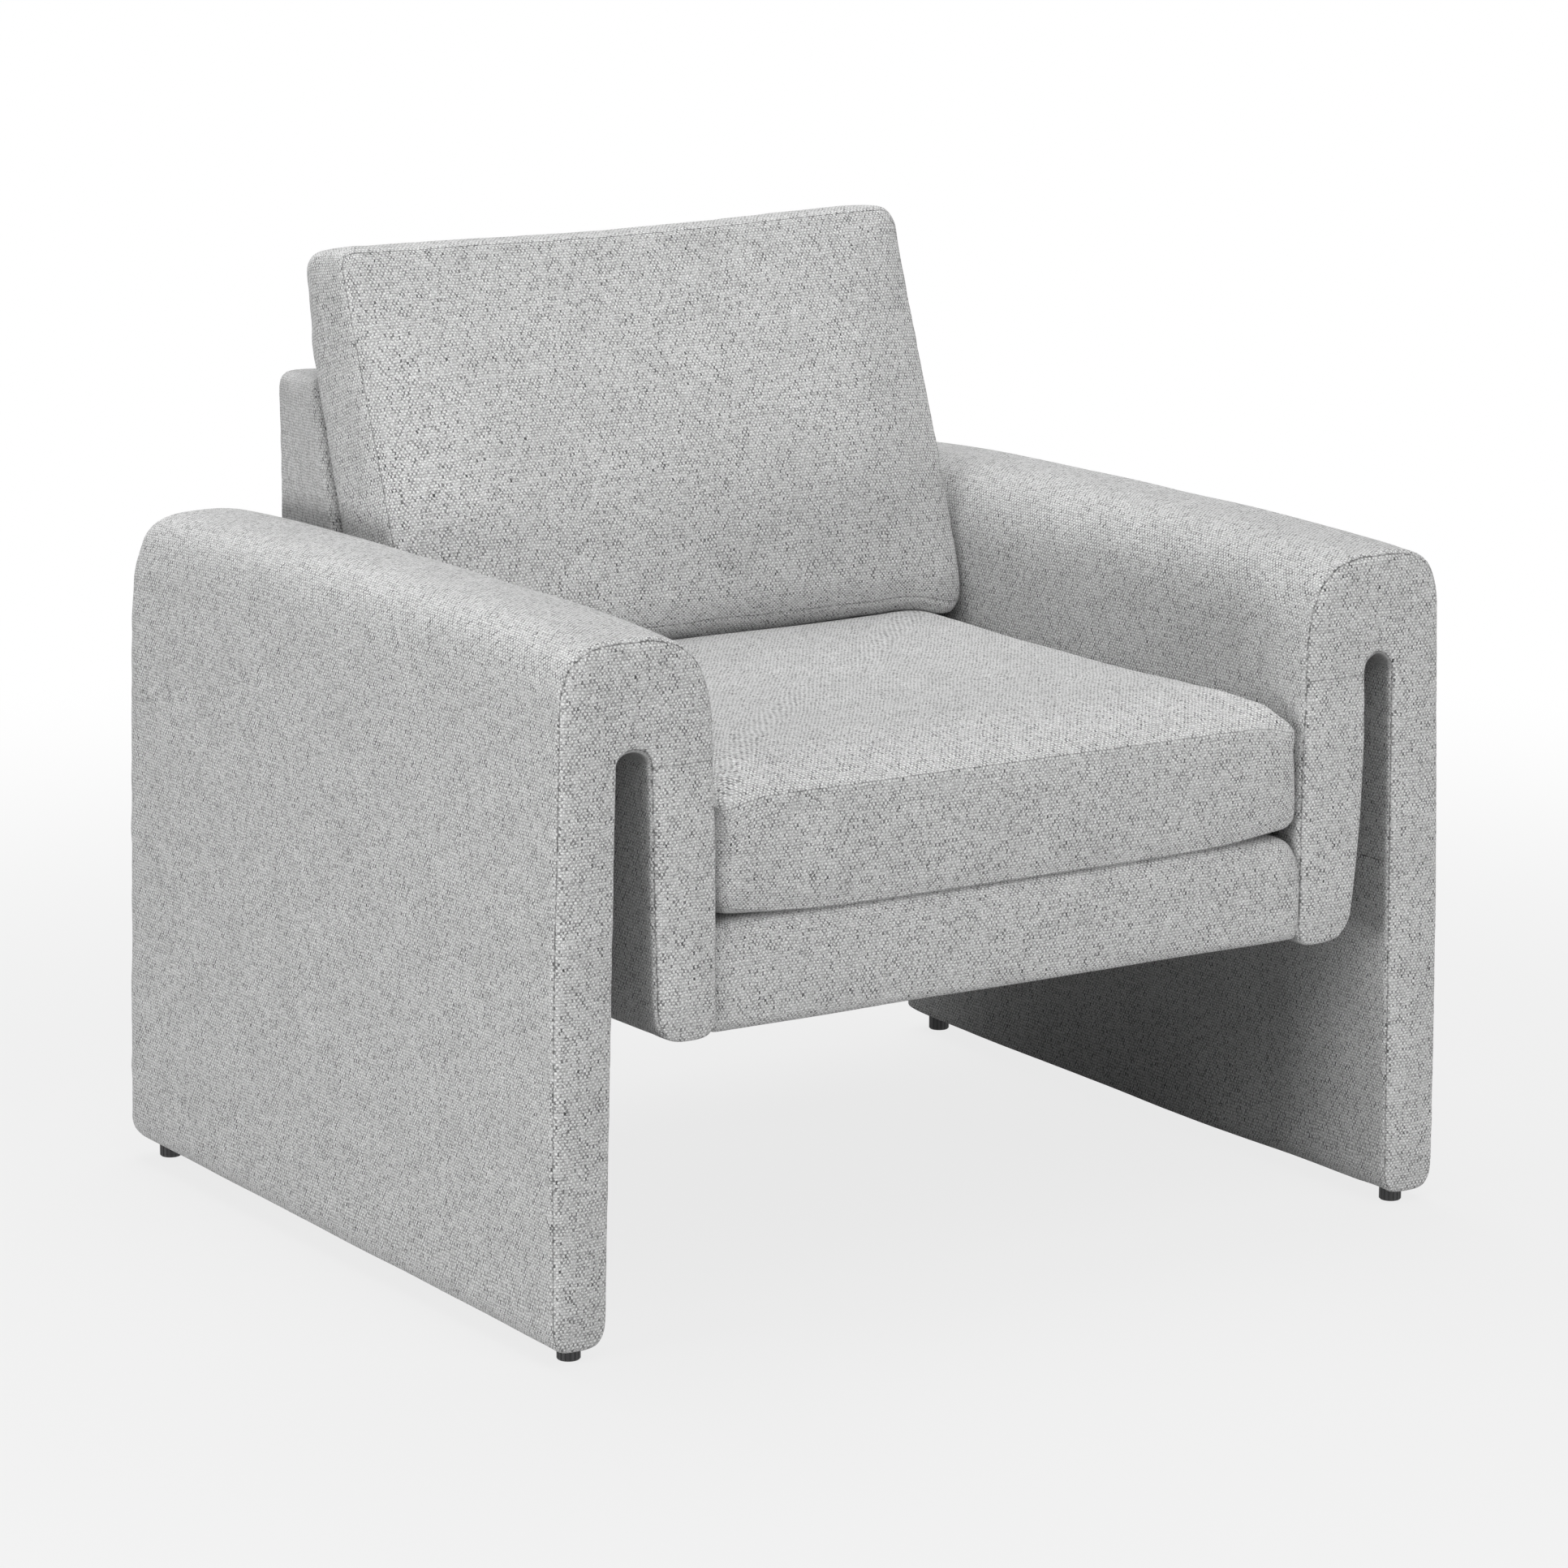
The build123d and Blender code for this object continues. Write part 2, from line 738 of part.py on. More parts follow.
def back_webbing():
    """Elastic straps from post to post over the sloping face."""
    layer = back_solid(back_timber_inset) - back_solid(back_timber_inset, strap_thickness)
    low = deck_top + strap_width / 2
    high = back_rail_top - strap_width / 2 - back_frame_edge_radius
    side = post_outer_x - strap_end_gap
    straps = []
    for z in steps(low, high, back_strap_count):
        band = block((-side, 0, z - strap_width / 2), (side, half_depth, z + strap_width / 2))
        straps.append(layer & band)
    return straps


def back_holes():
    """Every bolt hole through the back frame's soft layers."""
    radius = bolt_radius + bolt_clearance
    side = [rod_x(post_inner_x, half_seat, y, z, radius) for y, z in back_bolt_places()]
    return side + [mirrored(hole) for hole in side] + joining_bolt_holes(radius)


def back_foam():
    """Foam wrap between the back frame's timber and its cover."""
    return back_solid(fabric_thickness) - back_solid(back_timber_inset) - back_holes()


def back_cover():
    """Fabric cover all round the back frame."""
    return back_solid(0) - back_solid(fabric_thickness) - back_holes()


# ---------------------------------------------------------------- loose cushions


def seat_cushion(inset):
    """Crowned box cushion, this far inside its cover's outer face."""
    front = -half_depth + inset
    rear = seat_cushion_rear - inset
    low = seat_cushion_bottom + inset
    seam = seat_seam_height - inset
    crest = seam + seat_cushion_crown
    half = half_seat - seat_side_gap - inset
    radius = shrunk(seat_cushion_edge_radius, inset)
    middle = (front + rear) / 2
    side = crowned(front, rear, low, seam, crest + crown_margin, radius)
    face = crowned(-half, half, low, seam, crest, radius)
    plan = RectangleRounded(2 * half, rear - front, shrunk(seat_cushion_plan_radius, inset))
    body = prism_x(side, -half, half) & prism_y(face, front, rear)
    return body & prism_z(Pos(0, middle) * plan, low, crest)


def crowned(start, end, low, seam, crest, radius):
    """Box outline with a crowned top and rounded corners."""
    outline = [
        Line((start, low), (start, seam)),
        ThreePointArc((start, seam), ((start + end) / 2, crest), (end, seam)),
        Line((end, seam), (end, low)),
        Line((end, low), (start, low)),
    ]
    corners = [(start, low), (start, seam), (end, seam), (end, low)]
    return round_corners(make_face(outline), corners, [radius] * 4)


back_cushion_gap_y = pad_clearance / cos(lean)
back_cushion_depth_y = back_cushion_border / cos(lean)


def back_cushion_front_y(z):
    """Front seam plane of the back cushion at a height."""
    return back_face_y(z) - back_cushion_gap_y - back_cushion_depth_y


back_cushion_bottom = seat_top_at(back_cushion_front_y(seat_seam_height)) + pad_clearance


def back_cushion_side(inset):
    """YZ outline of the leaning back cushion, with a crowned front."""
    low = back_cushion_bottom + inset
    shift = inset / cos(lean)
    top_z = back_cushion_top_height - inset
    top_y = back_cushion_front_y(top_z) + shift
    low_y = back_cushion_front_y(low) + shift
    thick = back_cushion_border - 2 * inset
    rear_top = (top_y + thick * cos(lean), top_z - thick * sin(lean))
    rear_low = (low_y + thick / cos(lean), low)
    crest = (
        (top_y + low_y) / 2 - back_cushion_crown * cos(lean),
        (top_z + low) / 2 + back_cushion_crown * sin(lean),
    )
    outline = [
        ThreePointArc((low_y, low), crest, (top_y, top_z)),
        Line((top_y, top_z), rear_top),
        Line(rear_top, rear_low),
        Line(rear_low, (low_y, low)),
    ]
    corners = [(low_y, low), (top_y, top_z), rear_top, rear_low]
    return round_corners(make_face(outline), corners, [shrunk(back_cushion_edge_radius, inset)] * 4)


def back_cushion(inset):
    """Leaning box cushion, this far inside its cover's outer face."""
    half = half_seat - back_cushion_side_gap - inset
    height = back_cushion_top_height - back_cushion_bottom
    high = corner_margin - inset
    radius = shrunk(back_cushion_corner_radius, inset)
    outline = [(-half, -2 * height), (half, -2 * height), (half, high), (-half, high)]
    top_seam = (0, back_cushion_front_y(back_cushion_top_height), back_cushion_top_height)
    leaning = Plane(origin=top_seam, x_dir=(1, 0, 0), z_dir=(0, -cos(lean), sin(lean)))
    face = leaning * rounded(outline, [0, 0, radius, radius])
    return prism_x(back_cushion_side(inset), -half, half) & extrude(face, height, both=True)


# ---------------------------------------------------------------- levelling feet


def foot_glide():
    """Fluted plastic foot with a plain collar, its socket open at the top."""
    glide = Cylinder(foot_radius, foot_height, align=(Align.CENTER, Align.CENTER, Align.MIN))
    glide = chamfer(glide.edges().group_by(Axis.Z)[0], foot_sole_chamfer)
    flute = rod_z(0, foot_height - foot_collar_height, foot_radius, 0, foot_flute_radius)
    glide -= [Rot(0, 0, 360 * i / foot_flute_count) * flute for i in range(foot_flute_count)]
    return glide - rod_z(stud_bottom, foot_height, 0, 0, bolt_radius + thread_clearance)


def foot_stud():
    """Threaded stud, drawn plain at its outer diameter, with a lead-in at the top."""
    stud = rod_z(stud_bottom, stud_top, 0, 0, bolt_radius)
    return chamfer(stud.edges().group_by(Axis.Z)[-1], stud_lead_in)


# ---------------------------------------------------------------- write the nodes


def write(name, pieces):
    """Write one node: a single solid, or a group of separate ones."""
    solids = pieces if isinstance(pieces, list) else [pieces]
    solids = [solid for piece in solids for solid in piece.solids()]
    export_step(solids[0] if len(solids) == 1 else Compound(children=solids), f"parts/{name}.step")


def write_both(name, pieces):
    """Write a right-hand node and its mirror image on the left."""
    pieces = pieces if isinstance(pieces, list) else [pieces]
    write(f"right_{name}", pieces)
    write(f"left_{name}", [mirrored(piece) for piece in pieces])


os.makedirs("parts", exist_ok=True)

outer_foam, inner_foam, crown_foam = arm_foam()
write_both("arm_panel_frame", arm_frame())
write_both(
    "arm_panel_skins",
    [
        panel_sheet(rail_outer_x, panel_outer_x),
        panel_sheet(panel_inner_x, rail_inner_x),
    ],
)
write_both("arm_leg_core", inner_core())
write_both("arm_top_ribs", top_ribs())
write_both("arm_top_board", top_skin())
write_both("arm_panel_foam", outer_foam)
write_both("arm_leg_foam", inner_foam)
write_both("arm_top_foam", crown_foam)
write_both("arm_cover", arm_cover())
write_both("arm_tee_nuts", arm_tee_nuts())
write_both("foot_inserts", foot_inserts())
write_both("arm_bolts", arm_bolts())

write("seat_front_rail", front_rail())
write("seat_rear_rail", rear_rail())
write_both("seat_side_rail", side_rail())
write("seat_corner_blocks", corner_blocks())
write("seat_webbing", seat_webbing())
write("deck_pad", deck_pad())
write("deck_cover", deck_cover())
write("dust_cover", dust_cover())

write_both("back_post", back_post())
write("back_top_rail", back_top_rail())
write("back_middle_rail", back_middle_rail())
write("back_bottom_rail", back_bottom_rail())
write("back_rear_board", rear_board())
write("back_webbing", back_webbing())
write("back_foam", back_foam())
write("back_cover", back_cover())
write("back_bolts", joining_bolts())

write("seat_cushion_core", seat_cushion(fabric_thickness))
write("seat_cushion_cover", seat_cushion(0) - seat_cushion(fabric_thickness))
write("back_cushion_core", back_cushion(fabric_thickness))
write("back_cushion_cover", back_cushion(0) - back_cushion(fabric_thickness))

for end, y in zip(("front", "rear"), foot_places()):
    for side, x in (("left", -foot_x), ("right", foot_x)):
        write(f"{end}_{side}_foot_glide", Pos(x, y, 0) * foot_glide())
        write(f"{end}_{side}_foot_stud", Pos(x, y, 0) * foot_stud())
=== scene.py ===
# %% [markdown]
# # An upholstered armchair, dressed over its frame
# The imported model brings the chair's timber, webbing, bolts and levelling feet, and plain solids for
# everything soft. This lesson leaves the hard parts alone and makes the soft ones again as an
# upholsterer would: each cover is cut into panels, the panels are sewn into a shape, the shape is
# stuffed, and only then do the seams and the weave appear. All lengths are in metres.

# %% Load the frame
import math

import bmesh
import bpy
import numpy as np
from mathutils import Matrix, Vector, noise
from mathutils.bvhtree import BVHTree


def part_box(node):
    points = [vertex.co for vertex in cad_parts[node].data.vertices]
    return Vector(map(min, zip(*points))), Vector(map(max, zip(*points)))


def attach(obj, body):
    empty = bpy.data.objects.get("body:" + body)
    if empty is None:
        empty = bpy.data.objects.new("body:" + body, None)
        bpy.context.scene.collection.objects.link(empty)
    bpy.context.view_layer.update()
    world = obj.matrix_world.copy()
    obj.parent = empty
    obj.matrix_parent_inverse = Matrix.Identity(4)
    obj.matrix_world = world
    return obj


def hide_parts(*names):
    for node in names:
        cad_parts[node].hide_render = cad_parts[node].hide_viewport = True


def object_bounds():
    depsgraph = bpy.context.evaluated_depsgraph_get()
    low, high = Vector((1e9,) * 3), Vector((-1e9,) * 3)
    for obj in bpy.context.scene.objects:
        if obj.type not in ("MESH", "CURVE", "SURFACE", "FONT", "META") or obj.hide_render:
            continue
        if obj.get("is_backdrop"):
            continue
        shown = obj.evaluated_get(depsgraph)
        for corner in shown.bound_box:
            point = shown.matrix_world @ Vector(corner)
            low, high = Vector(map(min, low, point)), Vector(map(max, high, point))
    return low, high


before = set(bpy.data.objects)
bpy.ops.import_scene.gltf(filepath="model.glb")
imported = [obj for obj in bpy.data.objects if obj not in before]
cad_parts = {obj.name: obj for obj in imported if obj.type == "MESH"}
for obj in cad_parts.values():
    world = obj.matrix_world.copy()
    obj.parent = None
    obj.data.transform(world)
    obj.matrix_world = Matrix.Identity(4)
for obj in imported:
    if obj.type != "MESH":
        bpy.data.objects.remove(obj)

cad_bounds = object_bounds()
print("box:", [round(v, 4) for corner in cad_bounds for v in corner])

# %% [markdown]
# ## The camera
# A long lens from well back and a little above keeps the arms' upright edges almost parallel, as in a
# catalogue picture. The camera is turned about Z, tipped down about X and rolled a hair about its own
# axis, in that order, so the three turns are written as one product of rotations.

# %% Place the camera
camera_data = bpy.data.cameras.new("camera")
camera_data.sensor_width = 36.0
camera_data.lens = 129.03
camera = bpy.data.objects.new("camera", camera_data)
bpy.context.scene.collection.objects.link(camera)
turn, tip, roll = math.radians(-32.963), math.radians(90 - 12.194), math.radians(0.117)
camera.matrix_world = (
    Matrix.Translation((-2.5236, -3.9082, 1.3505))
    @ Matrix.Rotation(turn, 4, "Z")
    @ Matrix.Rotation(tip, 4, "X")
    @ Matrix.Rotation(roll, 4, "Z")
)
camera_data.clip_start = 0.1
camera_data.clip_end = 60.0
bpy.context.scene.camera = camera
print("camera at", [round(v, 3) for v in camera.location], "lens", camera_data.lens, "mm")

# %% [markdown]
# ## Colour management
# The Standard view shows a colour as it is written, which makes a pale fabric easy to judge.

# %% Show colours as they are written
bpy.context.scene.view_settings.view_transform = "Standard"

# %% [markdown]
# ## A small language for node trees
# A weave takes some forty sums. Writing each as a node by hand hides the idea, so a small class stands
# for a number that the tree works out: the usual signs between two such numbers add a Math node and
# link it up. The lights, the floor and the cloth below then read like the formulas that they are.


# %% Write the numbers of a node tree
class Value:
    """Number or colour that a node tree works out; the usual signs add Math nodes."""

    def __init__(self, tree, socket):
        self.tree, self.socket = tree, socket

    def maths(self, operation, other=0.0):
        """Math node over this value and another; returns its result."""
        node = add(self.tree, "Math", {0: self, 1: other}, operation=operation)
        return Value(self.tree, node.outputs[0])

    def __add__(self, other):
        return self.maths("ADD", other)

    def __sub__(self, other):
        return self.maths("SUBTRACT", other)

    def __mul__(self, other):
        return self.maths("MULTIPLY", other)

    def __truediv__(self, other):
        return self.maths("DIVIDE", other)


# %% Write node helpers
def put(tree, value, socket):
    """Link a value or a node's first output to a socket, or set the socket to a number or a colour."""
    if isinstance(value, Value):
        tree.links.new(value.socket, socket)
    elif isinstance(value, bpy.types.Node):
        tree.links.new(value.outputs[0], socket)
    elif isinstance(value, tuple):
        socket.default_value = (*value, 1.0)
    else:
        socket.default_value = value


def add(tree, kind, inputs=None, **settings):
    """New node of a kind, with its settings changed and its inputs filled; returns it."""
    node = tree.nodes.new("ShaderNode" + kind)
    for name, value in settings.items():
        setattr(node, name, value)
    for name, value in (inputs or {}).items():
        put(tree, value, node.inputs[name])
    return node


def joined(tree, x, y, z=0.0):
    """Vector made of three numbers."""
    return Value(tree, add(tree, "CombineXYZ", {0: x, 1: y, 2: z}).outputs[0])


def split(tree, vector):
    """The three numbers of a vector."""
    return [Value(tree, socket) for socket in add(tree, "SeparateXYZ", {0: vector}).outputs]


def object_place(tree):
    """Place of the shaded point in the object's own axes."""
    return Value(tree, add(tree, "TexCoord").outputs["Object"])


def grain(tree, vector, scale, detail=2.0, roughness=0.5):
    """Noise texture between 0 and 1."""
    inputs = {"Vector": vector, "Scale": scale, "Detail": detail, "Roughness": roughness}
    return Value(tree, add(tree, "TexNoise", inputs).outputs["Fac"])


def remapped(tree, value, low, high, to_low, to_high, kind="LINEAR"):
    """Value moved from one range to another and held within it."""
    inputs = {"Value": value, "From Min": low, "From Max": high, "To Min": to_low, "To Max": to_high}
    return Value(tree, add(tree, "MapRange", inputs, interpolation_type=kind).outputs["Result"])


def ramp(tree, value, stops):
    """Colour of a colour ramp over (place, colour) stops."""
    node = add(tree, "ValToRGB", {0: value})
    band = node.color_ramp
    while len(band.elements) < len(stops):
        band.elements.new(0.5)
    for element, (place, colour) in zip(band.elements, stops):
        element.position = place
        element.color = (*colour, 1.0)
    return Value(tree, node.outputs[0])


def mixed(tree, factor, first, second, blend="MIX"):
    """Mix of two colours."""
    inputs = {"Factor": factor, "A": first, "B": second}
    node = add(tree, "Mix", inputs, data_type="RGBA", blend_type=blend)
    return Value(tree, node.outputs["Result"])


def clear_view(tree):
    """1 for rays from the camera and for mirrored and refracted ones, 0 for all others."""
    rays = add(tree, "LightPath").outputs
    kinds = (Value(tree, rays[f"Is {kind} Ray"]) for kind in ("Camera", "Glossy", "Transmission"))
    return next(kinds).maths("MAXIMUM", next(kinds)).maths("MAXIMUM", next(kinds))


def new_material(name, roughness):
    """Material with a Principled shader; returns it, its tree and the shader."""
    material = bpy.data.materials.new(name)
    material.use_nodes = True
    shader = material.node_tree.nodes["Principled BSDF"]
    shader.inputs["Roughness"].default_value = roughness
    return material, material.node_tree, shader


def bumped(tree, shader, height, strength, distance):
    """Let a height tilt the shader's normal."""
    bump = add(tree, "Bump", {"Height": height, "Strength": strength, "Distance": distance})
    put(tree, bump, shader.inputs["Normal"])


# %% [markdown]
# ## Light
# A studio lights a pale chair with large soft boxes. Two broad ones hang overhead, one behind the chair
# and one in front, and a third stands on the left. Four small ones stand low around the chair and lift
# its upright faces, while the undersides and the slots stay dark. The world adds a weak even light, and
# looks white only to the camera, in reflections and through clear things.

# %% Make the soft boxes
target = Vector((0.0, 0.0, 0.35))


def soft_box(name, place, size, power):
    """Square area light that looks at the middle of the chair."""
    data = bpy.data.lights.new(name, "AREA")
    data.shape = "SQUARE"
    data.size = size
    data.energy = power
    box = bpy.data.objects.new(name, data)
    box.location = place
    box.rotation_euler = (target - Vector(place)).to_track_quat("-Z", "Y").to_euler()
    box.visible_camera = False
    bpy.context.scene.collection.objects.link(box)
    print("light", name, "at", place, power, "W")
    return box


soft_box("overhead_box", (0.2, 0.9, 3.2), 2.4, 72.0)
soft_box("overhead_front_box", (-0.3, -2.2, 3.0), 2.4, 38.0)
soft_box("left_box", (-3.6, -0.9, 1.9), 2.2, 27.0)
soft_box("low_left_box", (-3.8, -0.6, 0.5), 0.8, 53.0)
soft_box("low_front_box", (0.3, -4.6, 0.4), 0.7, 46.0)
soft_box("low_right_box", (2.4, -3.8, 0.45), 0.8, 28.0)
soft_box("low_rear_box", (0.8, 4.4, 0.9), 1.2, 24.0)

# %% Make the world's even light
world = bpy.data.worlds.new("studio")
bpy.context.scene.world = world
world.use_nodes = True
sky = world.node_tree
sky.nodes.clear()
white = (1.0, 1.0, 1.0)
even_strength = 0.03
even = add(sky, "Background", {"Color": white, "Strength": even_strength})
seen = add(sky, "Background", {"Color": white, "Strength": 1.0})
pick = add(sky, "MixShader", {0: clear_view(sky), 1: even, 2: seen})
add(sky, "OutputWorld", {"Surface": pick})
print("world light", even_strength)

# %% [markdown]
# ## The floor
# One big disc stands for the studio floor. To the camera its surface is mostly card that shows itself
# white, mixed with a plain matt grey that still takes the chair's soft shadow. The share of pure white
# grows with the distance from the chair, so that the floor runs into the background with no horizon.

# %% Lay the floor
floor_radius = 9.0
fade_from, fade_to = 0.7, 2.4  # where the share of white card starts to grow, and where it is whole
floor_mesh = bmesh.new()
bmesh.ops.create_circle(floor_mesh, cap_ends=True, segments=96, radius=floor_radius)
floor_data = bpy.data.meshes.new("studio_floor")
floor_mesh.to_mesh(floor_data)
floor_mesh.free()
floor = bpy.data.objects.new("studio_floor", floor_data)
bpy.context.scene.collection.objects.link(floor)
floor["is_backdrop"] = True

card = bpy.data.materials.new("white_card")
card.use_nodes = True
tree = card.node_tree
tree.nodes.clear()
matt = add(tree, "BsdfDiffuse", {"Color": (0.42, 0.42, 0.42)})
glow = add(tree, "Emission")
far = Value(tree, add(tree, "VectorMath", {0: object_place(tree)}, operation="LENGTH").outputs["Value"])
share = clear_view(tree) * remapped(tree, far, fade_from, fade_to, 0.80, 1.0, "SMOOTHSTEP")
blend = add(tree, "MixShader", {0: share, 1: matt, 2: glow})
add(tree, "OutputMaterial", {"Surface": blend})
floor.data.materials.append(card)
print("floor radius", floor_radius, "m")

# %% [markdown]
# ## The cloth
# The cover is a chunky plain weave. Thick pale weft yarns run across each panel and thinner warp yarns,
# spun from mixed light and dark grey wool, run up it. At every crossing one of them is on top, like a
# chessboard, so the pale floats stand out as staggered bright beads. Drawing that as geometry would
# take millions of faces, so the shader works out both yarns' heights at each point from the cloth's
# own UV map, which is laid out in metres, panel by panel, as the cloth was cut. The higher yarn wins,
# and painted shade darkens the colour where the yarns dip between the beads.


# %% Write the weave's heights
warp_pitch = 0.00178
weft_pitch = 0.00244


def yarn_height(across, rise, lift, base):
    """Height of a round yarn whose middle line rises and dips with the crossings."""
    body = (across * across * -3.9 + 1.0).maths("MAXIMUM", 0.0).maths("SQRT")
    return rise * lift + body + base


def weave(u, v):
    """Heights of the warp and the weft at a place on the cloth, and the place counted in yarns."""
    a, b = u / warp_pitch, v / weft_pitch
    rise = (a * math.pi).maths("SINE") * (b * math.pi).maths("SINE")
    warp = yarn_height(a.maths("FRACT") - 0.5, rise, 0.45, -0.02)
    weft = yarn_height(b.maths("FRACT") - 0.5, rise, -0.75, 0.02)
    return warp, weft, a, b


# %% Write the cloth material
def cloth_material(name, weft_tones, warp_tones):
    """Heathered plain weave, with painted shade between the yarns and painted shade in each seam's
    crease, where the seam attribute is near zero.
    """
    material, tree, shader = new_material(name, 0.94)
    cloth = Value(tree, add(tree, "UVMap", uv_map="cut").outputs[0])
    u, v, _ = split(tree, cloth)
    turned = joined(tree, v, u, 3.7)
    for scale, amount in ((60.0, 0.0028), (420.0, 0.0024)):
        u = grain(tree, cloth, scale, 1.0) * amount + u
        v = grain(tree, turned, scale, 1.0) * amount + v
    warp, weft, a, b = weave(u, v)
    warp = warp + (grain(tree, cloth, 520.0, 1.0) * 2.6 - 1.3)
    height = warp.maths("MAXIMUM", weft)

    # each yarn changes slowly along its length, and each float differs a little from the next
    column, row = a.maths("FLOOR"), b.maths("FLOOR")
    along_warp = joined(tree, column * 7.31, b * 0.22)
    along_weft = joined(tree, a * 0.16, row * 5.77, 9.1)
    dice = add(tree, "TexWhiteNoise", {"Vector": joined(tree, column, row)}, noise_dimensions="2D")
    chance = Value(tree, dice.outputs["Value"])
    cluster = grain(tree, cloth, 160.0) * 0.25 - 0.04
    warp_colour = ramp(tree, chance * 0.46 + (grain(tree, along_warp, 1.0) * 0.6 + cluster), warp_tones)
    weft_colour = ramp(tree, chance * 0.33 + grain(tree, along_weft, 1.0) * 0.8, weft_tones)
    colour = mixed(tree, warp.maths("GREATER_THAN", weft), weft_colour, warp_colour)

    # twisted fibres, flecks, painted shade in the gaps between the yarns, and broad faint clouding over
    # the whole cloth
    fibre = grain(tree, joined(tree, a * 6.0, b * 5.0), 1.0)
    # painted shade: the lower a yarn lies, the darker its colour, standing in for the shade between yarns
    painted_gap_shade = remapped(tree, height, 0.30, 1.60, 0.50, 1.03)
    tightness = grain(tree, cloth, 130.0) * 2.4 - 0.2
    # light: the painted gap shade, varied in patches, times the yarns' own flecks and clouding
    light = ((painted_gap_shade - 0.9) * tightness + 0.9) * (fibre * 0.36 + 0.82)
    light = light * (grain(tree, cloth, 900.0, 0.0) * 0.6 + 0.7)
    light = light * (grain(tree, cloth, 22.0, 3.0, 0.6) * 0.24 + 0.88)
    colour = mixed(tree, 1.0, colour, joined(tree, light, light, light), "MULTIPLY")

    # a sewn line: painted shade in its narrow crease, broken up by the stitches that pull it down
    near = Value(tree, add(tree, "Attribute", attribute_name="seam").outputs["Fac"]) / 0.0007
    # painted shade: the crease's colour is pulled towards near black, deepest where the stitches pull it
    # down
    crease = (near * near * -1.0).maths("EXPONENT") * (grain(tree, cloth, 260.0, 0.0) * 2.0 - 0.45)
    put(tree, mixed(tree, crease, colour, (0.05, 0.05, 0.048)), shader.inputs["Base Color"])
    bumped(tree, shader, fibre * 0.25 + height, 0.6, 0.0006)
    for word, value in (("Specular IOR Level", 0.2), ("Sheen Weight", 0.28), ("Sheen Roughness", 0.6)):
        shader.inputs[word].default_value = value
    print("cloth", name, "-", len(tree.nodes), "nodes")
    return material


def grey(value, warmth=0.0):
    """Neutral tone, a touch warmer where asked."""
    return (value * (1 + warmth), value, value * (1 - warmth))


pale_weft = [(0.30, grey(0.66)), (0.50, grey(0.82)), (0.85, grey(0.90))]
mixed_warp = [(0.28, grey(0.05)), (0.45, grey(0.31)), (0.62, grey(0.56)), (0.85, grey(0.72))]
heather = cloth_material("heathered_weave", pale_weft, mixed_warp)

# %% [markdown]
# ## The parts under the cloth
# The frame's hard parts keep their shapes and only need their looks. Wood is the most telling: its
# fibres, rings and pores all run along a board's length, so the material is made once for each
# direction, and each board takes the one that matches its longest side. Plywood adds the layers that
# show at its edges, hardboard is felted fibre with no direction, and the webbing is woven with the same
# sums as the cover.


# %% Write the wood material
ply_layer = 0.0013


def wood_material(name, axis, tones, ply_axis=None):
    """Timber whose grain runs along an axis; with a ply axis it is built of thin crossed layers."""
    material, tree, shader = new_material(name, 0.62)
    place = object_place(tree)
    parts = split(tree, place)
    along = parts[axis]
    first, second = (parts[i] for i in range(3) if i != axis)
    heart = (first + 0.045).maths("POWER", 2.0) + (second + 0.03).maths("POWER", 2.0)
    rings = (heart.maths("SQRT") * 900.0 + grain(tree, place, 7.0) * 14.0).maths("SINE")
    streaks = grain(tree, joined(tree, along * 0.06, first, second), 420.0, 3.0, 0.6)
    pores = grain(tree, joined(tree, along * 0.12, first, second), 1700.0, 1.0)
    tone = rings * 0.13 + (streaks * 0.75 + 0.12)
    if ply_axis is not None:
        layer = (parts[ply_axis] / ply_layer).maths("FLOOR")
        tone = tone - (layer * 0.5).maths("FRACT") * 0.5
    put(tree, ramp(tree, tone, tones), shader.inputs["Base Color"])
    put(tree, streaks * 0.22 + 0.50, shader.inputs["Roughness"])
    bumped(tree, shader, streaks * 0.6 + pores, 0.35, 0.0002)
    return material


# %% Write the other hard materials
def rough_material(name, low, high, scale, roughness, metallic=0.0, depth=0.0001):
    """Speckled material between two colours, with a bump at the same scale."""
    material, tree, shader = new_material(name, roughness)
    place = object_place(tree)
    speck = grain(tree, place, scale, 4.0, 0.65)
    tone = grain(tree, place, scale / 22.0) * 0.35 + speck * 0.65
    put(tree, ramp(tree, tone, [(0.34, low), (0.66, high)]), shader.inputs["Base Color"])
    put(tree, speck * 0.24 + (roughness - 0.12), shader.inputs["Roughness"])
    shader.inputs["Metallic"].default_value = metallic
    bumped(tree, shader, speck, 0.5, depth)
    return material


def webbing_material(name, u_axis, v_axis):
    """Dark elastic webbing, woven over two of the object's axes, with painted shade where its yarns dip.
    """
    material, tree, shader = new_material(name, 0.85)
    parts = split(tree, object_place(tree))
    warp, weft, a, b = weave(parts[u_axis], parts[v_axis])
    height = warp.maths("MAXIMUM", weft)
    # painted shade: the lower parts of the yarns are coloured darker, times a random tone from yarn to
    # yarn
    tone = (height * 0.35 + 0.25) * (grain(tree, joined(tree, a, b), 3.0, 3.0) + 0.5)
    rubber = [(0.2, (0.012, 0.011, 0.010)), (0.9, (0.13, 0.12, 0.11))]
    put(tree, ramp(tree, tone, rubber), shader.inputs["Base Color"])
    bumped(tree, shader, height, 1.0, 0.0005)
    return material


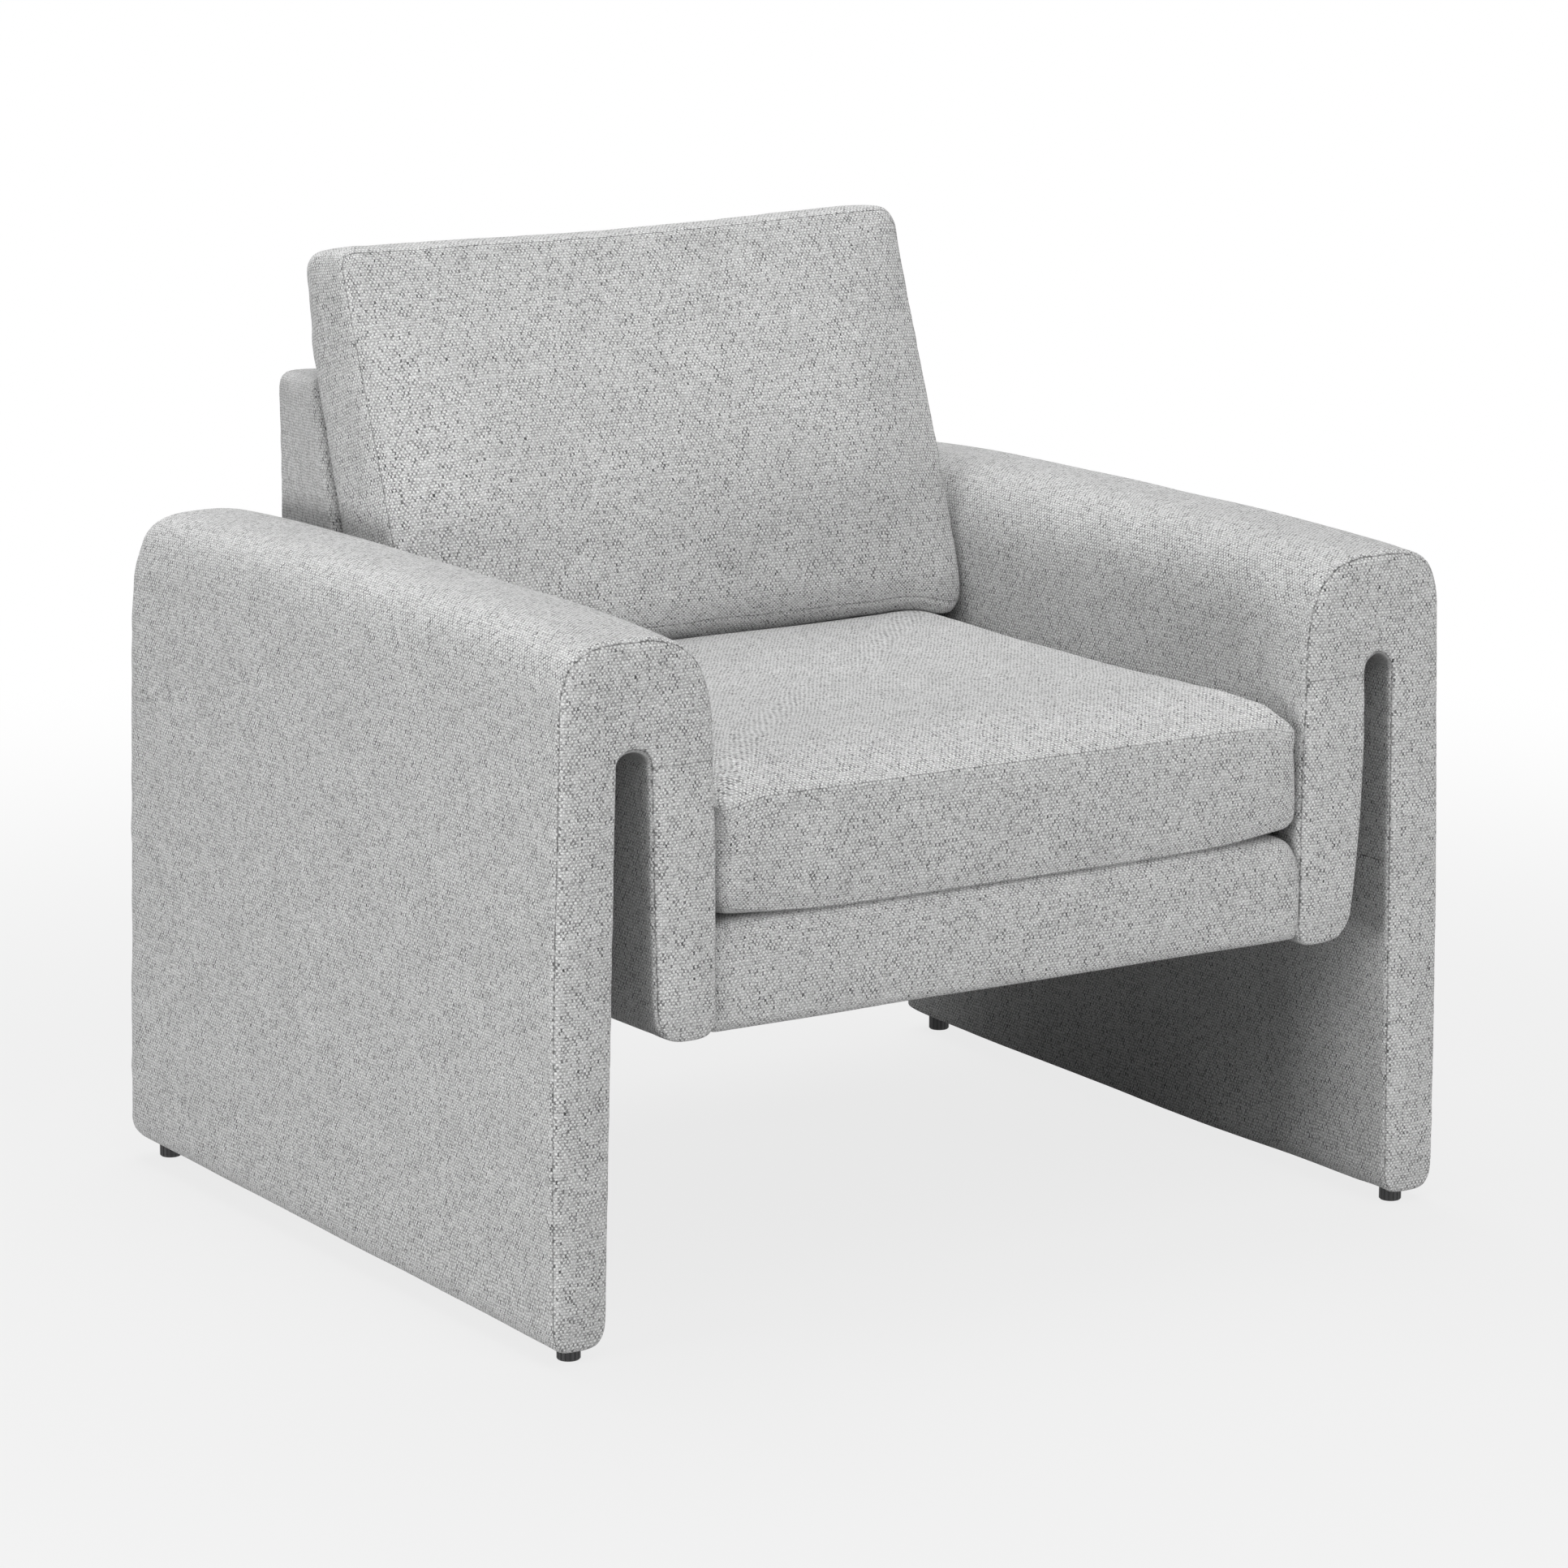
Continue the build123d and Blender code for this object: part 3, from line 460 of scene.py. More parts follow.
# %% Name the hard parts' looks
pine = [(0.15, (0.50, 0.33, 0.17)), (0.45, (0.70, 0.53, 0.33)), (0.80, (0.80, 0.66, 0.45))]
birch = [(0.10, (0.38, 0.24, 0.12)), (0.45, (0.66, 0.49, 0.30)), (0.85, (0.77, 0.62, 0.42))]
hardboard = rough_material("felted_hardboard", (0.20, 0.115, 0.06), (0.38, 0.24, 0.13), 700.0, 0.7)
zinc_low, zinc_high = (0.48, 0.49, 0.48), (0.66, 0.66, 0.63)
steel = rough_material("zinc_plated_steel", zinc_low, zinc_high, 500.0, 0.36, 1.0, 0.00004)
black = (0.012, 0.012, 0.013)
nylon = rough_material("black_moulded_plastic", black, (0.030, 0.030, 0.031), 1500.0, 0.5, 0.0, 0.00006)
seat_web = webbing_material("seat_webbing_weave", 0, 1)
back_web = webbing_material("back_webbing_weave", 0, 2)
woods = {}
looks = (
    (("bolts", "tee_nuts", "stud", "inserts"), steel),
    (("glide",), nylon),
    (("seat_webbing",), seat_web),
    (("webbing",), back_web),
    (("board",), hardboard),
)


def wood_for(node, kind, tones):
    """The wood material whose grain runs along the node's longest side."""
    low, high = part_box(node)
    lengths = [high[i] - low[i] for i in range(3)]
    axis, thin = lengths.index(max(lengths)), lengths.index(min(lengths))
    key = (kind, axis, thin if kind == "birch_ply" else None)
    if key not in woods:
        woods[key] = wood_material(f"{kind}_{'xyz'[axis]}{'xyz'[thin]}", axis, tones, key[2])
    return woods[key]


def look_of(node):
    """The finished material of one of the frame's parts."""
    for words, look in looks:
        if any(word in node for word in words):
            return look
    if any(word in node for word in ("ribs", "skins", "leg_core", "back_post")):
        return wood_for(node, "birch_ply", birch)
    return wood_for(node, "pine", pine)


# %% Dress the frame's own parts
soft_nodes = ("cover", "foam", "deck_pad", "cushion_core")
hard_parts = [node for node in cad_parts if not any(word in node for word in soft_nodes)]
used = set()
for node in hard_parts:
    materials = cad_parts[node].data.materials
    materials.clear()
    materials.append(look_of(node))
    used.add(materials[0].name)
print(len(hard_parts), "hard parts dressed with", len(used), "materials")

# %% [markdown]
# ## Building soft pieces
# Every soft piece goes through the same five steps, so each step is a helper. First a plain block or
# strip is cut into cells by planes, finer beside its seams. Then its points are moved: corners are
# rounded off and surfaces are crowned. The mesh keeps two things from its flat state: the UV map, in
# metres, and for each point its distance from the nearest sewn line. Last come subdivision and the
# small relief that makes cloth out of a smooth form: seam creases, puckers and gentle dents.


# %% Turn a bmesh into an object
def new_object(name, bm):
    """Object at the origin from a bmesh, shaded smooth."""
    mesh = bpy.data.meshes.new(name)
    bm.to_mesh(mesh)
    bm.free()
    mesh.polygons.foreach_set("use_smooth", [True] * len(mesh.polygons))
    piece = bpy.data.objects.new(name, mesh)
    bpy.context.scene.collection.objects.link(piece)
    return piece


def read(items, field, width=1, kind=float):
    """One field of all of a mesh's items: an array, or rows of the given width."""
    values = np.empty(len(items) * width, kind)
    items.foreach_get(field, values)
    return values if width == 1 else values.reshape(-1, width)


def points_of(mesh):
    """The mesh's points as an array."""
    return read(mesh.vertices, "co", 3)


def move_points(mesh, points):
    """Put the mesh's points where the array says."""
    mesh.vertices.foreach_set("co", np.ascontiguousarray(points).ravel())
    mesh.update()


# %% Write the shapes of change
def smoothstep(low, high, value):
    """0 below low, 1 above high, and a smooth rise between."""
    t = np.clip((value - low) / (high - low), 0.0, 1.0)
    return t * t * (3 - 2 * t)


def from_ends(places, low, high):
    """Distance of each place from the nearer of two ends."""
    return np.minimum(places - low, high - places)


def noise_at(places):
    """Smooth noise between -1 and 1 at each row of an array."""
    return np.array([noise.noise(Vector(place)) for place in places])


# %% Cut a block into cells
edge_steps = (0.0018, 0.0045, 0.009, 0.016)


def cell_lines(low, high, pitch):
    """Places of the cuts from low to high: close together by both ends, then evenly spaced."""
    margin = 0.024
    count = max(2, round((high - low - 2 * margin) / pitch))
    middle = np.linspace(low + margin, high - margin, count + 1)
    ends = [low + e for e in edge_steps] + [high - e for e in edge_steps]
    return sorted([*ends, *middle])


def cut_cells(bm, axis, places):
    """Cut everything in the bmesh at each place along an axis."""
    normal = Vector([float(i == axis) for i in range(3)])
    for place in places:
        everything = bm.verts[:] + bm.edges[:] + bm.faces[:]
        middle = normal * float(place)
        bmesh.ops.bisect_plane(bm, geom=everything, plane_co=middle, plane_no=normal, dist=1e-7)


def celled_block(low, high, pitch):
    """Closed box of cells between two corners."""
    bm = bmesh.new()
    bmesh.ops.create_cube(bm, size=1.0)
    bmesh.ops.scale(bm, vec=high - low, verts=bm.verts)
    bmesh.ops.translate(bm, vec=(low + high) / 2, verts=bm.verts)
    for axis in range(3):
        cut_cells(bm, axis, cell_lines(low[axis], high[axis], pitch))
    return bm


# %% Lay out the cut panels of a box
side_island = 2.0  # shift of the left and right faces, away from the others
seam_reach = 0.05  # a seam changes nothing further away than this


def lay_out_block(piece):
    """UV map in metres, one island for each face of the box, from its unrounded points."""
    mesh = piece.data
    layer = mesh.uv_layers.new(name="cut")
    side = np.abs(read(mesh.polygons, "normal", 3)).argmax(1)
    side = np.repeat(side, read(mesh.polygons, "loop_total", kind=int))
    flat = points_of(mesh)
    over_edge = flat[:, 2].max() - flat[:, 1].min()
    x, y, z = flat[read(mesh.loops, "vertex_index", kind=int)].T
    across = np.where(side == 0, y + side_island, x)
    along = np.where(side == 2, y + over_edge, z)
    layer.data.foreach_set("uv", np.stack([across, along], 1).ravel())


def new_block(name, low, high, pitch):
    """Object made of a block of cells, with its UV map; returns it and its flat points."""
    piece = new_object(name, celled_block(low, high, pitch))
    lay_out_block(piece)
    return piece, points_of(piece.data)


def store_seam(piece, distance):
    """Keep each point's distance from the nearest sewn line, up to the seams' reach."""
    layer = piece.data.attributes.new("seam", "FLOAT", "POINT")
    layer.data.foreach_set("value", np.clip(distance, 0.0, seam_reach).astype(np.float32))


# %% [markdown]
# A soft box needs two kinds of rounding: its upright corners as seen from above, and then the edges
# where the sides turn into the top or the bottom. Both use the same move, which bends a square corner
# of cells into a quarter of a circle, first in plan, then between the depth below the rounded rim and
# the height. The plan need not be the floor: a cushion that stands up is planned on its face.


# %% Round a square corner of cells
def rounded_corner(a, b, radius_a, radius_b=None):
    """Points of a square corner, as depths below its two faces, once it is rounded."""
    radius_b = radius_a if radius_b is None else radius_b
    p = np.clip(1 - a / radius_a, 0.0, 1.0)
    q = np.clip(1 - b / radius_b, 0.0, 1.0)
    inside = (a < radius_a) & (b < radius_b)
    new_a = np.where(inside, radius_a * (1 - p * np.sqrt(1 - q * q / 2)), a)
    new_b = np.where(inside, radius_b * (1 - q * np.sqrt(1 - p * p / 2)), b)
    return new_a, new_b


def rim(a, b, radius):
    """Depth below a rounded rim, and the way inwards along a and along b."""
    p, q = np.maximum(radius - a, 0.0), np.maximum(radius - b, 0.0)
    away = np.maximum(np.hypot(p, q), 1e-9)
    inside = (a < radius) & (b < radius)
    depth = np.where(inside, radius - away, np.minimum(a, b))
    along_a = np.where(inside, p / away, (a <= b) * 1.0)
    along_b = np.where(inside, q / away, (b < a) * 1.0)
    return depth, along_a, along_b


# %% Round a whole block
def soft_block(points, low, high, plan, corners, edges):
    """Round a block of cells: plan names two axes, corners and edges hold (low side, high side) radii."""
    i, j = plan
    k = 3 - i - j
    depths, sides = [], []
    for axis in (i, j, k):
        from_low, from_high = points[:, axis] - low[axis], high[axis] - points[:, axis]
        sides.append(from_low <= from_high)
        depths.append(np.where(sides[-1], from_low, from_high))
    corner = np.where(sides[1], *corners)
    edge = np.where(sides[2], *edges)
    a, b = rounded_corner(depths[0], depths[1], corner)
    depth, along_a, along_b = rim(a, b, corner)
    up, new_depth = rounded_corner(depths[2], depth, edge)
    a, b = a + (new_depth - depth) * along_a, b + (new_depth - depth) * along_b
    out = np.empty_like(points)
    for axis, value, side in zip((i, j, k), (a, b, up), sides):
        out[:, axis] = np.where(side, low[axis] + value, high[axis] - value)
    return out


# %% [markdown]
# ## Stuffing with a cloth simulation
# A box cushion is stuffed with foam that is slightly too big for its cover, so every panel bellies
# out between its seams. Cloth with a little pressure inside and no gravity does the same. The swelling
# is limited softly, so that a wide panel keeps one even crown instead of ballooning, and the result is
# applied, so that no simulation stays on the piece.


# %% Write the stuffing step
cloth_settings = {
    "quality": 5,
    "mass": 0.3,
    "tension_stiffness": 15,
    "compression_stiffness": 15,
    "shear_stiffness": 5,
    "bending_stiffness": 0.5,
    "vertex_group_mass": "sewn",
    "use_pressure": True,
}


def stuff(piece, pressure, cap, held, frames=20):
    """Swell a closed cover by a short cloth simulation, moving no point further than the cap."""
    before = points_of(piece.data)
    scene = bpy.context.scene
    pins = piece.vertex_groups.new(name="sewn")
    pins.add([int(i) for i in np.flatnonzero(held)], 1.0, "REPLACE")
    cloth = piece.modifiers.new("stuffing", "CLOTH")
    for name, value in cloth_settings.items():
        setattr(cloth.settings, name, value)
    cloth.settings.uniform_pressure_force = pressure
    cloth.settings.effector_weights.gravity = 0.0
    cloth.collision_settings.use_collision = False
    cloth.collision_settings.use_self_collision = False
    cloth.point_cache.frame_start = 1
    cloth.point_cache.frame_end = frames
    for number in range(1, frames + 1):
        scene.frame_set(number)
    swollen = piece.evaluated_get(bpy.context.evaluated_depsgraph_get())
    shift = points_of(swollen.data) - before
    piece.modifiers.remove(cloth)
    piece.vertex_groups.remove(pins)
    scene.frame_set(1)
    length = np.maximum(np.linalg.norm(shift, axis=1), 1e-9)
    limited = cap * np.tanh(length / cap)
    move_points(piece.data, before + shift * (limited / length)[:, None])
    free, kept = (round(float(swell.max()) * 1000, 1) for swell in (length, limited))
    print(piece.name, "free swell", free, "mm, kept", kept)


# %% Write the subdivision step
def subdivide(piece, levels=1):
    """Apply a Subdivision Surface, keeping the UV map and the seam distances."""
    surface = piece.modifiers.new("surface", "SUBSURF")
    surface.levels = levels
    surface.render_levels = levels
    evaluated = piece.evaluated_get(bpy.context.evaluated_depsgraph_get())
    mesh = bpy.data.meshes.new_from_object(evaluated)
    piece.modifiers.remove(surface)
    old = piece.data
    piece.data = mesh
    mesh.name = piece.name
    bpy.data.meshes.remove(old)
    mesh.polygons.foreach_set("use_smooth", [True] * len(mesh.polygons))


# %% [markdown]
# The relief is three small moves along each point's normal. A sewn line pulls its own edge down and
# leaves a soft ridge beside it. Beyond the ridge the extra cloth gathers into puckers that fade within
# a few centimetres. Over the rest, foam that is never quite even leaves dents a hand wide.


# %% Write the relief step
def relieve(piece, crease=0.0005, pucker=0.0006, dent=0.0010, seed=0.0):
    """Crease the seams, pucker the cloth beside them and dent the rest."""
    mesh = piece.data
    points = points_of(mesh)
    normals = read(mesh.vertices, "normal", 3)
    distance = read(mesh.attributes["seam"].data, "value")
    sunk = crease * np.exp(-((distance / 0.0016) ** 2))
    ridge = 0.35 * crease * np.exp(-(((distance - 0.005) / 0.003) ** 2))
    shift = np.array((seed, 1.7 * seed, -seed))
    gathers = noise_at((points + shift) * 62.0)
    dents = noise_at((points - shift) * 9.0)
    beside = np.exp(-distance / 0.016) * (1 - np.exp(-distance / 0.003))
    move = ridge - sunk + 2.0 * pucker * gathers * beside + dent * dents * smoothstep(0.0, 0.04, distance)
    move_points(mesh, points + normals * move[:, None])
    print(piece.name, len(mesh.polygons), "faces, relief", round(float(np.ptp(move)) * 1000, 2), "mm")


# %% Write the last step of every cover
def finish_cloth(piece, points, body, nodes, fill, **relief):
    """Give a cover its shape, surface and cloth, its body and the frame's parts that it stands for."""
    move_points(piece.data, points)
    subdivide(piece)
    relieve(piece, **relief)
    piece.data.materials.append(heather)
    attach(piece, body)
    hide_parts(*nodes)


# %% [markdown]
# ## The arms
# Seen from the front each arm is an upside-down J: a panel that stands on the floor, a rounded top,
# and a short leg that hangs down on the seat side, with a narrow slot between panel and leg. The
# front and back faces are single pieces of cloth cut to that J. A second strip wraps the outside, over
# the top and down to the seat, and a third lines the slot. So the arm starts as a flat strip that
# follows the J: one short row of points is extruded up the panel, spun over the top and extruded down
# the leg. Extruding the strip's faces from front to back then makes the whole arm.

# %% Set the arm's sizes
arm_low, arm_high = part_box("right_arm_cover")
arm_inner, arm_front, panel_bottom = arm_low
arm_outer, arm_rear, arm_crest = arm_high
panel_thick, slot_wide, over_slot = 0.054, 0.033, 0.092
slot_outer = arm_outer - panel_thick
slot_inner = slot_outer - slot_wide
slot_middle = (slot_outer + slot_inner) / 2
slot_radius = (slot_outer - slot_inner) / 2
slot_top = arm_crest - over_slot
spring = slot_top - slot_radius  # height where the round top begins
leg_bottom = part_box("right_arm_leg_foam")[0].z - 0.0015
print("arm's width and height:", round(arm_outer - arm_inner, 3), round(arm_crest, 3))

# %% Spin the strip that follows the J
leg_seam = spring  # heights of the cross seams, on the leg and inside the panel
panel_seam = 0.300


def climb(bm, edges, places):
    """Extrude a row of edges upwards or downwards through the places; returns the last row."""
    for before, after in zip(places, places[1:]):
        made = bmesh.ops.extrude_edge_only(bm, edges=edges)["geom"]
        edges = [g for g in made if isinstance(g, bmesh.types.BMEdge)]
        moved = [g for g in made if isinstance(g, bmesh.types.BMVert)]
        bmesh.ops.translate(bm, vec=(0, 0, after - before), verts=moved)
    return edges


def arm_strip():
    """Flat strip of faces along the J, with a circular top; the shape comes later."""
    across = [0.0, 0.0018, 0.0045, 0.009, 0.017, 0.026, 0.035, 0.0425, 0.0480, 0.0518, panel_thick]
    bm = bmesh.new()
    row = [bm.verts.new((slot_outer + a, arm_front, panel_bottom)) for a in across]
    edges = [bm.edges.new(pair) for pair in zip(row, row[1:])]
    foot = [panel_bottom + s for s in (0.0, 0.003, 0.006, 0.010, 0.016, 0.022)]
    beside = [panel_seam + s for s in (-0.006, -0.002, 0.0, 0.002, 0.006)]
    below = np.linspace(foot[-1], beside[0], 26)[1:-1]
    above = np.linspace(beside[-1], spring, 18)[1:]
    edges = climb(bm, edges, [*foot, *below, *beside, *above])
    ends = dict.fromkeys(v for e in edges for v in e.verts)
    turned = bmesh.ops.spin(
        bm,
        geom=[*edges, *ends],
        cent=(slot_middle, arm_front, spring),
        axis=(0, 1, 0),
        angle=-math.pi,
        steps=38,
    )["geom_last"]
    edges = [g for g in turned if isinstance(g, bmesh.types.BMEdge)]
    toe = [leg_bottom + s for s in (0.028, 0.020, 0.013, 0.008, 0.004, 0.0)]
    climb(bm, edges, [*np.linspace(spring, toe[0], 20), *toe[1:]])
    return bm


# %% Put points and faces in a fixed order
def in_order(bm):
    """The same cells with their points and faces sorted by place, so that each run gives one mesh."""
    points = sorted(bm.verts, key=lambda v: tuple(round(c, 5) for c in v.co))
    number = {point: i for i, point in enumerate(points)}
    faces = []
    for face in bm.faces:
        corners = [number[v] for v in face.verts]
        first = corners.index(min(corners))
        faces.append(corners[first:] + corners[:first])
    mesh = bpy.data.meshes.new("ordered")
    mesh.from_pydata([tuple(v.co) for v in points], [], sorted(faces))
    bm.free()
    bm = bmesh.new()
    bm.from_mesh(mesh)
    bpy.data.meshes.remove(mesh)
    return bm


# %% Extrude the strip from front to back
def arm_blank():
    """The J's solid, cut into cells from front to back."""
    bm = arm_strip()
    made = bmesh.ops.extrude_face_region(bm, geom=bm.faces[:])["geom"]
    moved = [g for g in made if isinstance(g, bmesh.types.BMVert)]
    bmesh.ops.translate(bm, vec=(0, arm_rear - arm_front, 0), verts=moved)
    cut_cells(bm, 1, cell_lines(arm_front, arm_rear, 0.0125))
    bmesh.ops.recalc_face_normals(bm, faces=bm.faces)
    return in_order(bm)


blank = arm_blank()
print("arm blank:", len(blank.faces), "cells, volume", round(blank.calc_volume() * 1000, 2), "litres")

# %% [markdown]
# The blank's points know where they are on the strip: how far across it, from the slot's edge to the
# outer edge, and how far round the top. From that the real outline follows. The outside is a soft
# square shoulder towards the panel and a rounder one towards the seat, drawn as a superellipse and
# spaced evenly along its length. The crown sinks by some 8 mm at both ends, where it is sewn down.

# %% Draw the arm's shoulder
shoulder_turn = np.linspace(0.0, math.pi, 1201)
shoulder_power = np.where(shoulder_turn < math.pi / 2, 3.5, 2.9)
shoulder_x = np.sign(np.cos(shoulder_turn)) * np.abs(np.cos(shoulder_turn)) ** (2 / shoulder_power)
shoulder_z = np.abs(np.sin(shoulder_turn)) ** (2 / shoulder_power)
shoulder_x = (arm_inner + arm_outer) / 2 + (arm_outer - arm_inner) / 2 * shoulder_x
shoulder_z = spring + (arm_crest - spring) * shoulder_z
shoulder_run = np.r_[0.0, np.cumsum(np.hypot(np.diff(shoulder_x), np.diff(shoulder_z)))]
print("shoulder", round(float(shoulder_run[-1]), 3), "m of cloth over the top")


# %% Find where a point of the blank is on the strip
def strip_place(flat):
    """Share across the strip, and share of the turn over the top: 0 on the panel, 1 on the leg."""
    x, z = flat[:, 0] - slot_middle, flat[:, 2] - spring
    top = z > 1e-6
    reach = np.where(top, np.hypot(x, z), np.abs(x))
    share = np.clip((reach - slot_radius) / panel_thick, 0.0, 1.0)
    over = np.where(top, np.arctan2(z, x) / math.pi, np.where(x < 0, 1.0, 0.0))
    return share, over


# %% Set how the arms are stuffed
# The arms are stuffed by hand and differ a little: how far the leg hangs down, how the panel's slot
# side leans (its place at the spring, and its slope below), how thick the leg is at each height, and
# how round the slot's top is.
arm_sides = {
    "right": {
        "hang": 0.004,
        "lean": (-0.0015, 0.014),
        "wall": [0.0040, 0.0052, 0.0064, 0.0074, 0.0080, 0.0066],
        "arch": 0.92,
    },
    "left": {
        "hang": 0.0,
        "lean": (-0.0037, 0.0266),
        "wall": [0.0026, 0.0018, 0.0004, -0.0010, -0.0016, 0.0005],
        "arch": 0.78,
    },
}
wall_heights = [0.25, 0.27, 0.30, 0.35, 0.41, 0.46]
# The panel's outer side isn't quite upright: how far it stands out at each height, in front and behind.
tilt_heights = [0.05, 0.16, 0.28, 0.362, 0.40, 0.483, 0.505, 0.543, 0.565]
tilt_front = [0.0030, 0.0027, 0.0009, -0.0014, -0.0030, -0.0052, -0.0052, -0.0016, 0.0]
tilt_rear = [0.0090, 0.0064, 0.0035, 0.0018, 0.0012, -0.0019, -0.0036, -0.0036, 0.0]
leg_lean = 0.0085  # how far the leg's slot side leans in at its bottom
crown_sink = 0.0085  # how far the crown is sewn down at both ends
leg_press = 0.0025  # how far the seat cushion presses in the leg's front


def arm_surface(share, over, y, z, side):
    """Place on the real arm of a point of the strip; z counts only below the spring."""
    top = (over > 0) & (over < 1)
    run = over * shoulder_run[-1]
    outer_x = np.interp(run, shoulder_run, shoulder_x)
    outer_z = np.where(top, np.interp(run, shoulder_run, shoulder_z), z)
    lean_in = leg_lean * np.clip((0.39 - z) / 0.14, 0.0, 1.1) ** 1.6
    lean_from, lean_slope = side["lean"]
    flare = lean_from + lean_slope * np.maximum(spring - z, 0.0)
    wall = np.interp(z, wall_heights, side["wall"])
    inner_x = slot_middle + slot_radius * np.cos(over * math.pi)
    over_leg = smoothstep(0.25, 0.75, over)
    inner_x = inner_x + (wall - lean_in) * over_leg + flare * (1 - over_leg)
    inner_z = np.where(top, spring + side["arch"] * slot_radius * np.sin(over * math.pi) ** 0.8, z)
    x = inner_x + share * (outer_x - inner_x)
    z = inner_z + share * (outer_z - inner_z)
    back_share = np.clip((y - arm_front) / (arm_rear - arm_front), 0.0, 1.0)
    spread = np.interp(z, tilt_heights, tilt_front) * (1 - back_share)
    spread = spread + np.interp(z, tilt_heights, tilt_rear) * back_share
    x = x + np.where(over < 0.5, share * spread, 0.0)
    pressed = leg_press * smoothstep(0.46, 0.38, z) * smoothstep(0.05, 0.0, y - arm_front)
    x = x - np.where(over > 0.5, share * pressed, 0.0)
    end = np.maximum(from_ends(y, arm_front, arm_rear), 0.0)
    rise = np.clip((z - spring) / (arm_crest - spring), 0.0, 1.0)
    return x, z - crown_sink * np.exp(-end / 0.09) * rise**1.5


# %% [markdown]
# Four more moves finish the form. The bottom corners of the panel and the leg are rounded as seen
# from the front. Where two panels meet at a seam, both roll in by a few millimetres, which gives the
# seam a soft corner to sit on. The J's front and back faces belly out a little between the seams. And
# the cloth droops along the bottom, but not where a foot holds it up.


# %% Shape the arm
foot_low, foot_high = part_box("front_right_foot_glide")
foot_middle = (foot_low + foot_high) / 2


def shape_arm(flat, side):
    """All of the arm's moves, from the blank's points."""
    share, over = strip_place(flat)
    y, z = flat[:, 1], flat[:, 2]
    front = y < (arm_front + arm_rear) / 2
    leg, outer = over > 0.5, share > 0.5
    bottom = np.where(leg, leg_bottom, panel_bottom)
    high = np.where((over > 0) & (over < 1), 1.0, z - bottom)  # the top is far from any bottom

    # the bottom corners, seen from the front
    to_rear = (y - arm_front) / (arm_rear - arm_front)
    panel_toe = 0.018 - 0.013 * smoothstep(0.0, 0.5, to_rear)
    corner = np.where(leg, np.where(outer, 0.015, 0.023), np.where(outer, 0.018, panel_toe))
    width, high = rounded_corner(panel_thick * np.minimum(share, 1 - share), high, corner)
    depth, along_width, along_high = rim(width, high, corner)

    # the rolls beside the seams of the end faces, wider at the rear and below
    slot_roll = 0.0035 + 0.0025 * smoothstep(0.3, 1.0, over)
    beside = np.where(front, np.where(outer, 0.005, slot_roll), np.where(outer, 0.021, 0.009))
    below = np.where(front, 0.005, np.where(leg, 0.018, 0.026))
    end = np.where(front, y - arm_front, arm_rear - y)
    face = end < 1e-6
    end, new_depth = rounded_corner(end, depth, beside * along_width**2 + below * along_high**2)
    width, high = width + (new_depth - depth) * along_width, high + (new_depth - depth) * along_high
    share = np.where(outer, 1 - width / panel_thick, width / panel_thick)

    # the end faces' bellies, and the droop of the bottom beside the feet
    belly = np.where(front, 0.003, 0.001) * np.clip(4 * share * (1 - share), 0.0, 1.0) ** 0.7
    end = end - np.where(face, belly * smoothstep(0.0, 0.03, high), 0.0)
    y = np.where(front, arm_front + end, arm_rear - end)
    x, z = arm_surface(share, over, y, bottom + high, side)
    foot = np.hypot(x - foot_middle.x, np.abs(y) - abs(foot_middle.y))
    droop = 0.0095 - 0.007 * to_rear
    sag = np.where(leg, side["hang"], droop * smoothstep(0.010, 0.018, foot))
    return np.stack([x, y, z - sag * smoothstep(0.05, 0.0, np.minimum(high, 0.06))], 1)


# %% Measure how far each point of the arm is from a seam
def arm_seams(flat):
    """Distances from the seams at both ends, across the leg's strip and inside the panel."""
    share, over = strip_place(flat)
    y, z = flat[:, 1], flat[:, 2]
    width = panel_thick * np.minimum(share, 1 - share)
    end = from_ends(y, arm_front, arm_rear)
    across_leg = np.where(over > 0.5, np.hypot(np.hypot(z - leg_seam, end), 0.0004), 1.0)
    slot_side = panel_thick * share
    inside_panel = np.where(over < 0.5, np.hypot(z - panel_seam, slot_side), 1.0)
    return np.minimum(np.minimum(np.hypot(width, end), across_leg), inside_panel)


# %% Lay out the arm's cut panels
rear_island, strip_island = 0.4, 0.9  # shifts that keep the islands of the UV map apart


def lay_out_arm(mesh, flat, real):
    """UV map in metres: the ends by x and z, the strips by y and by the length round the J."""
    share, over = strip_place(flat)
    drop = np.maximum(spring - flat[:, 2], 0.0)
    way = over * shoulder_run[-1] + np.where(over > 0.5, drop, -drop)
    layer = mesh.uv_layers.new(name="cut")
    values = np.empty((len(mesh.loops), 2))
    for face in mesh.polygons:
        places = list(face.vertices)
        loops = list(face.loop_indices)
        if abs(face.normal.y) > 0.9:
            values[loops] = real[places][:, [0, 2]] + (0.0, rear_island * (face.normal.y > 0))
        elif np.ptp(flat[places, 2]) < 1e-6 and flat[places[0], 2] < spring:
            values[loops] = flat[places][:, [0, 1]]
        else:
            values[loops, 0] = flat[places, 1]
            values[loops, 1] = way[places] + strip_island
    layer.data.foreach_set("uv", values.ravel())


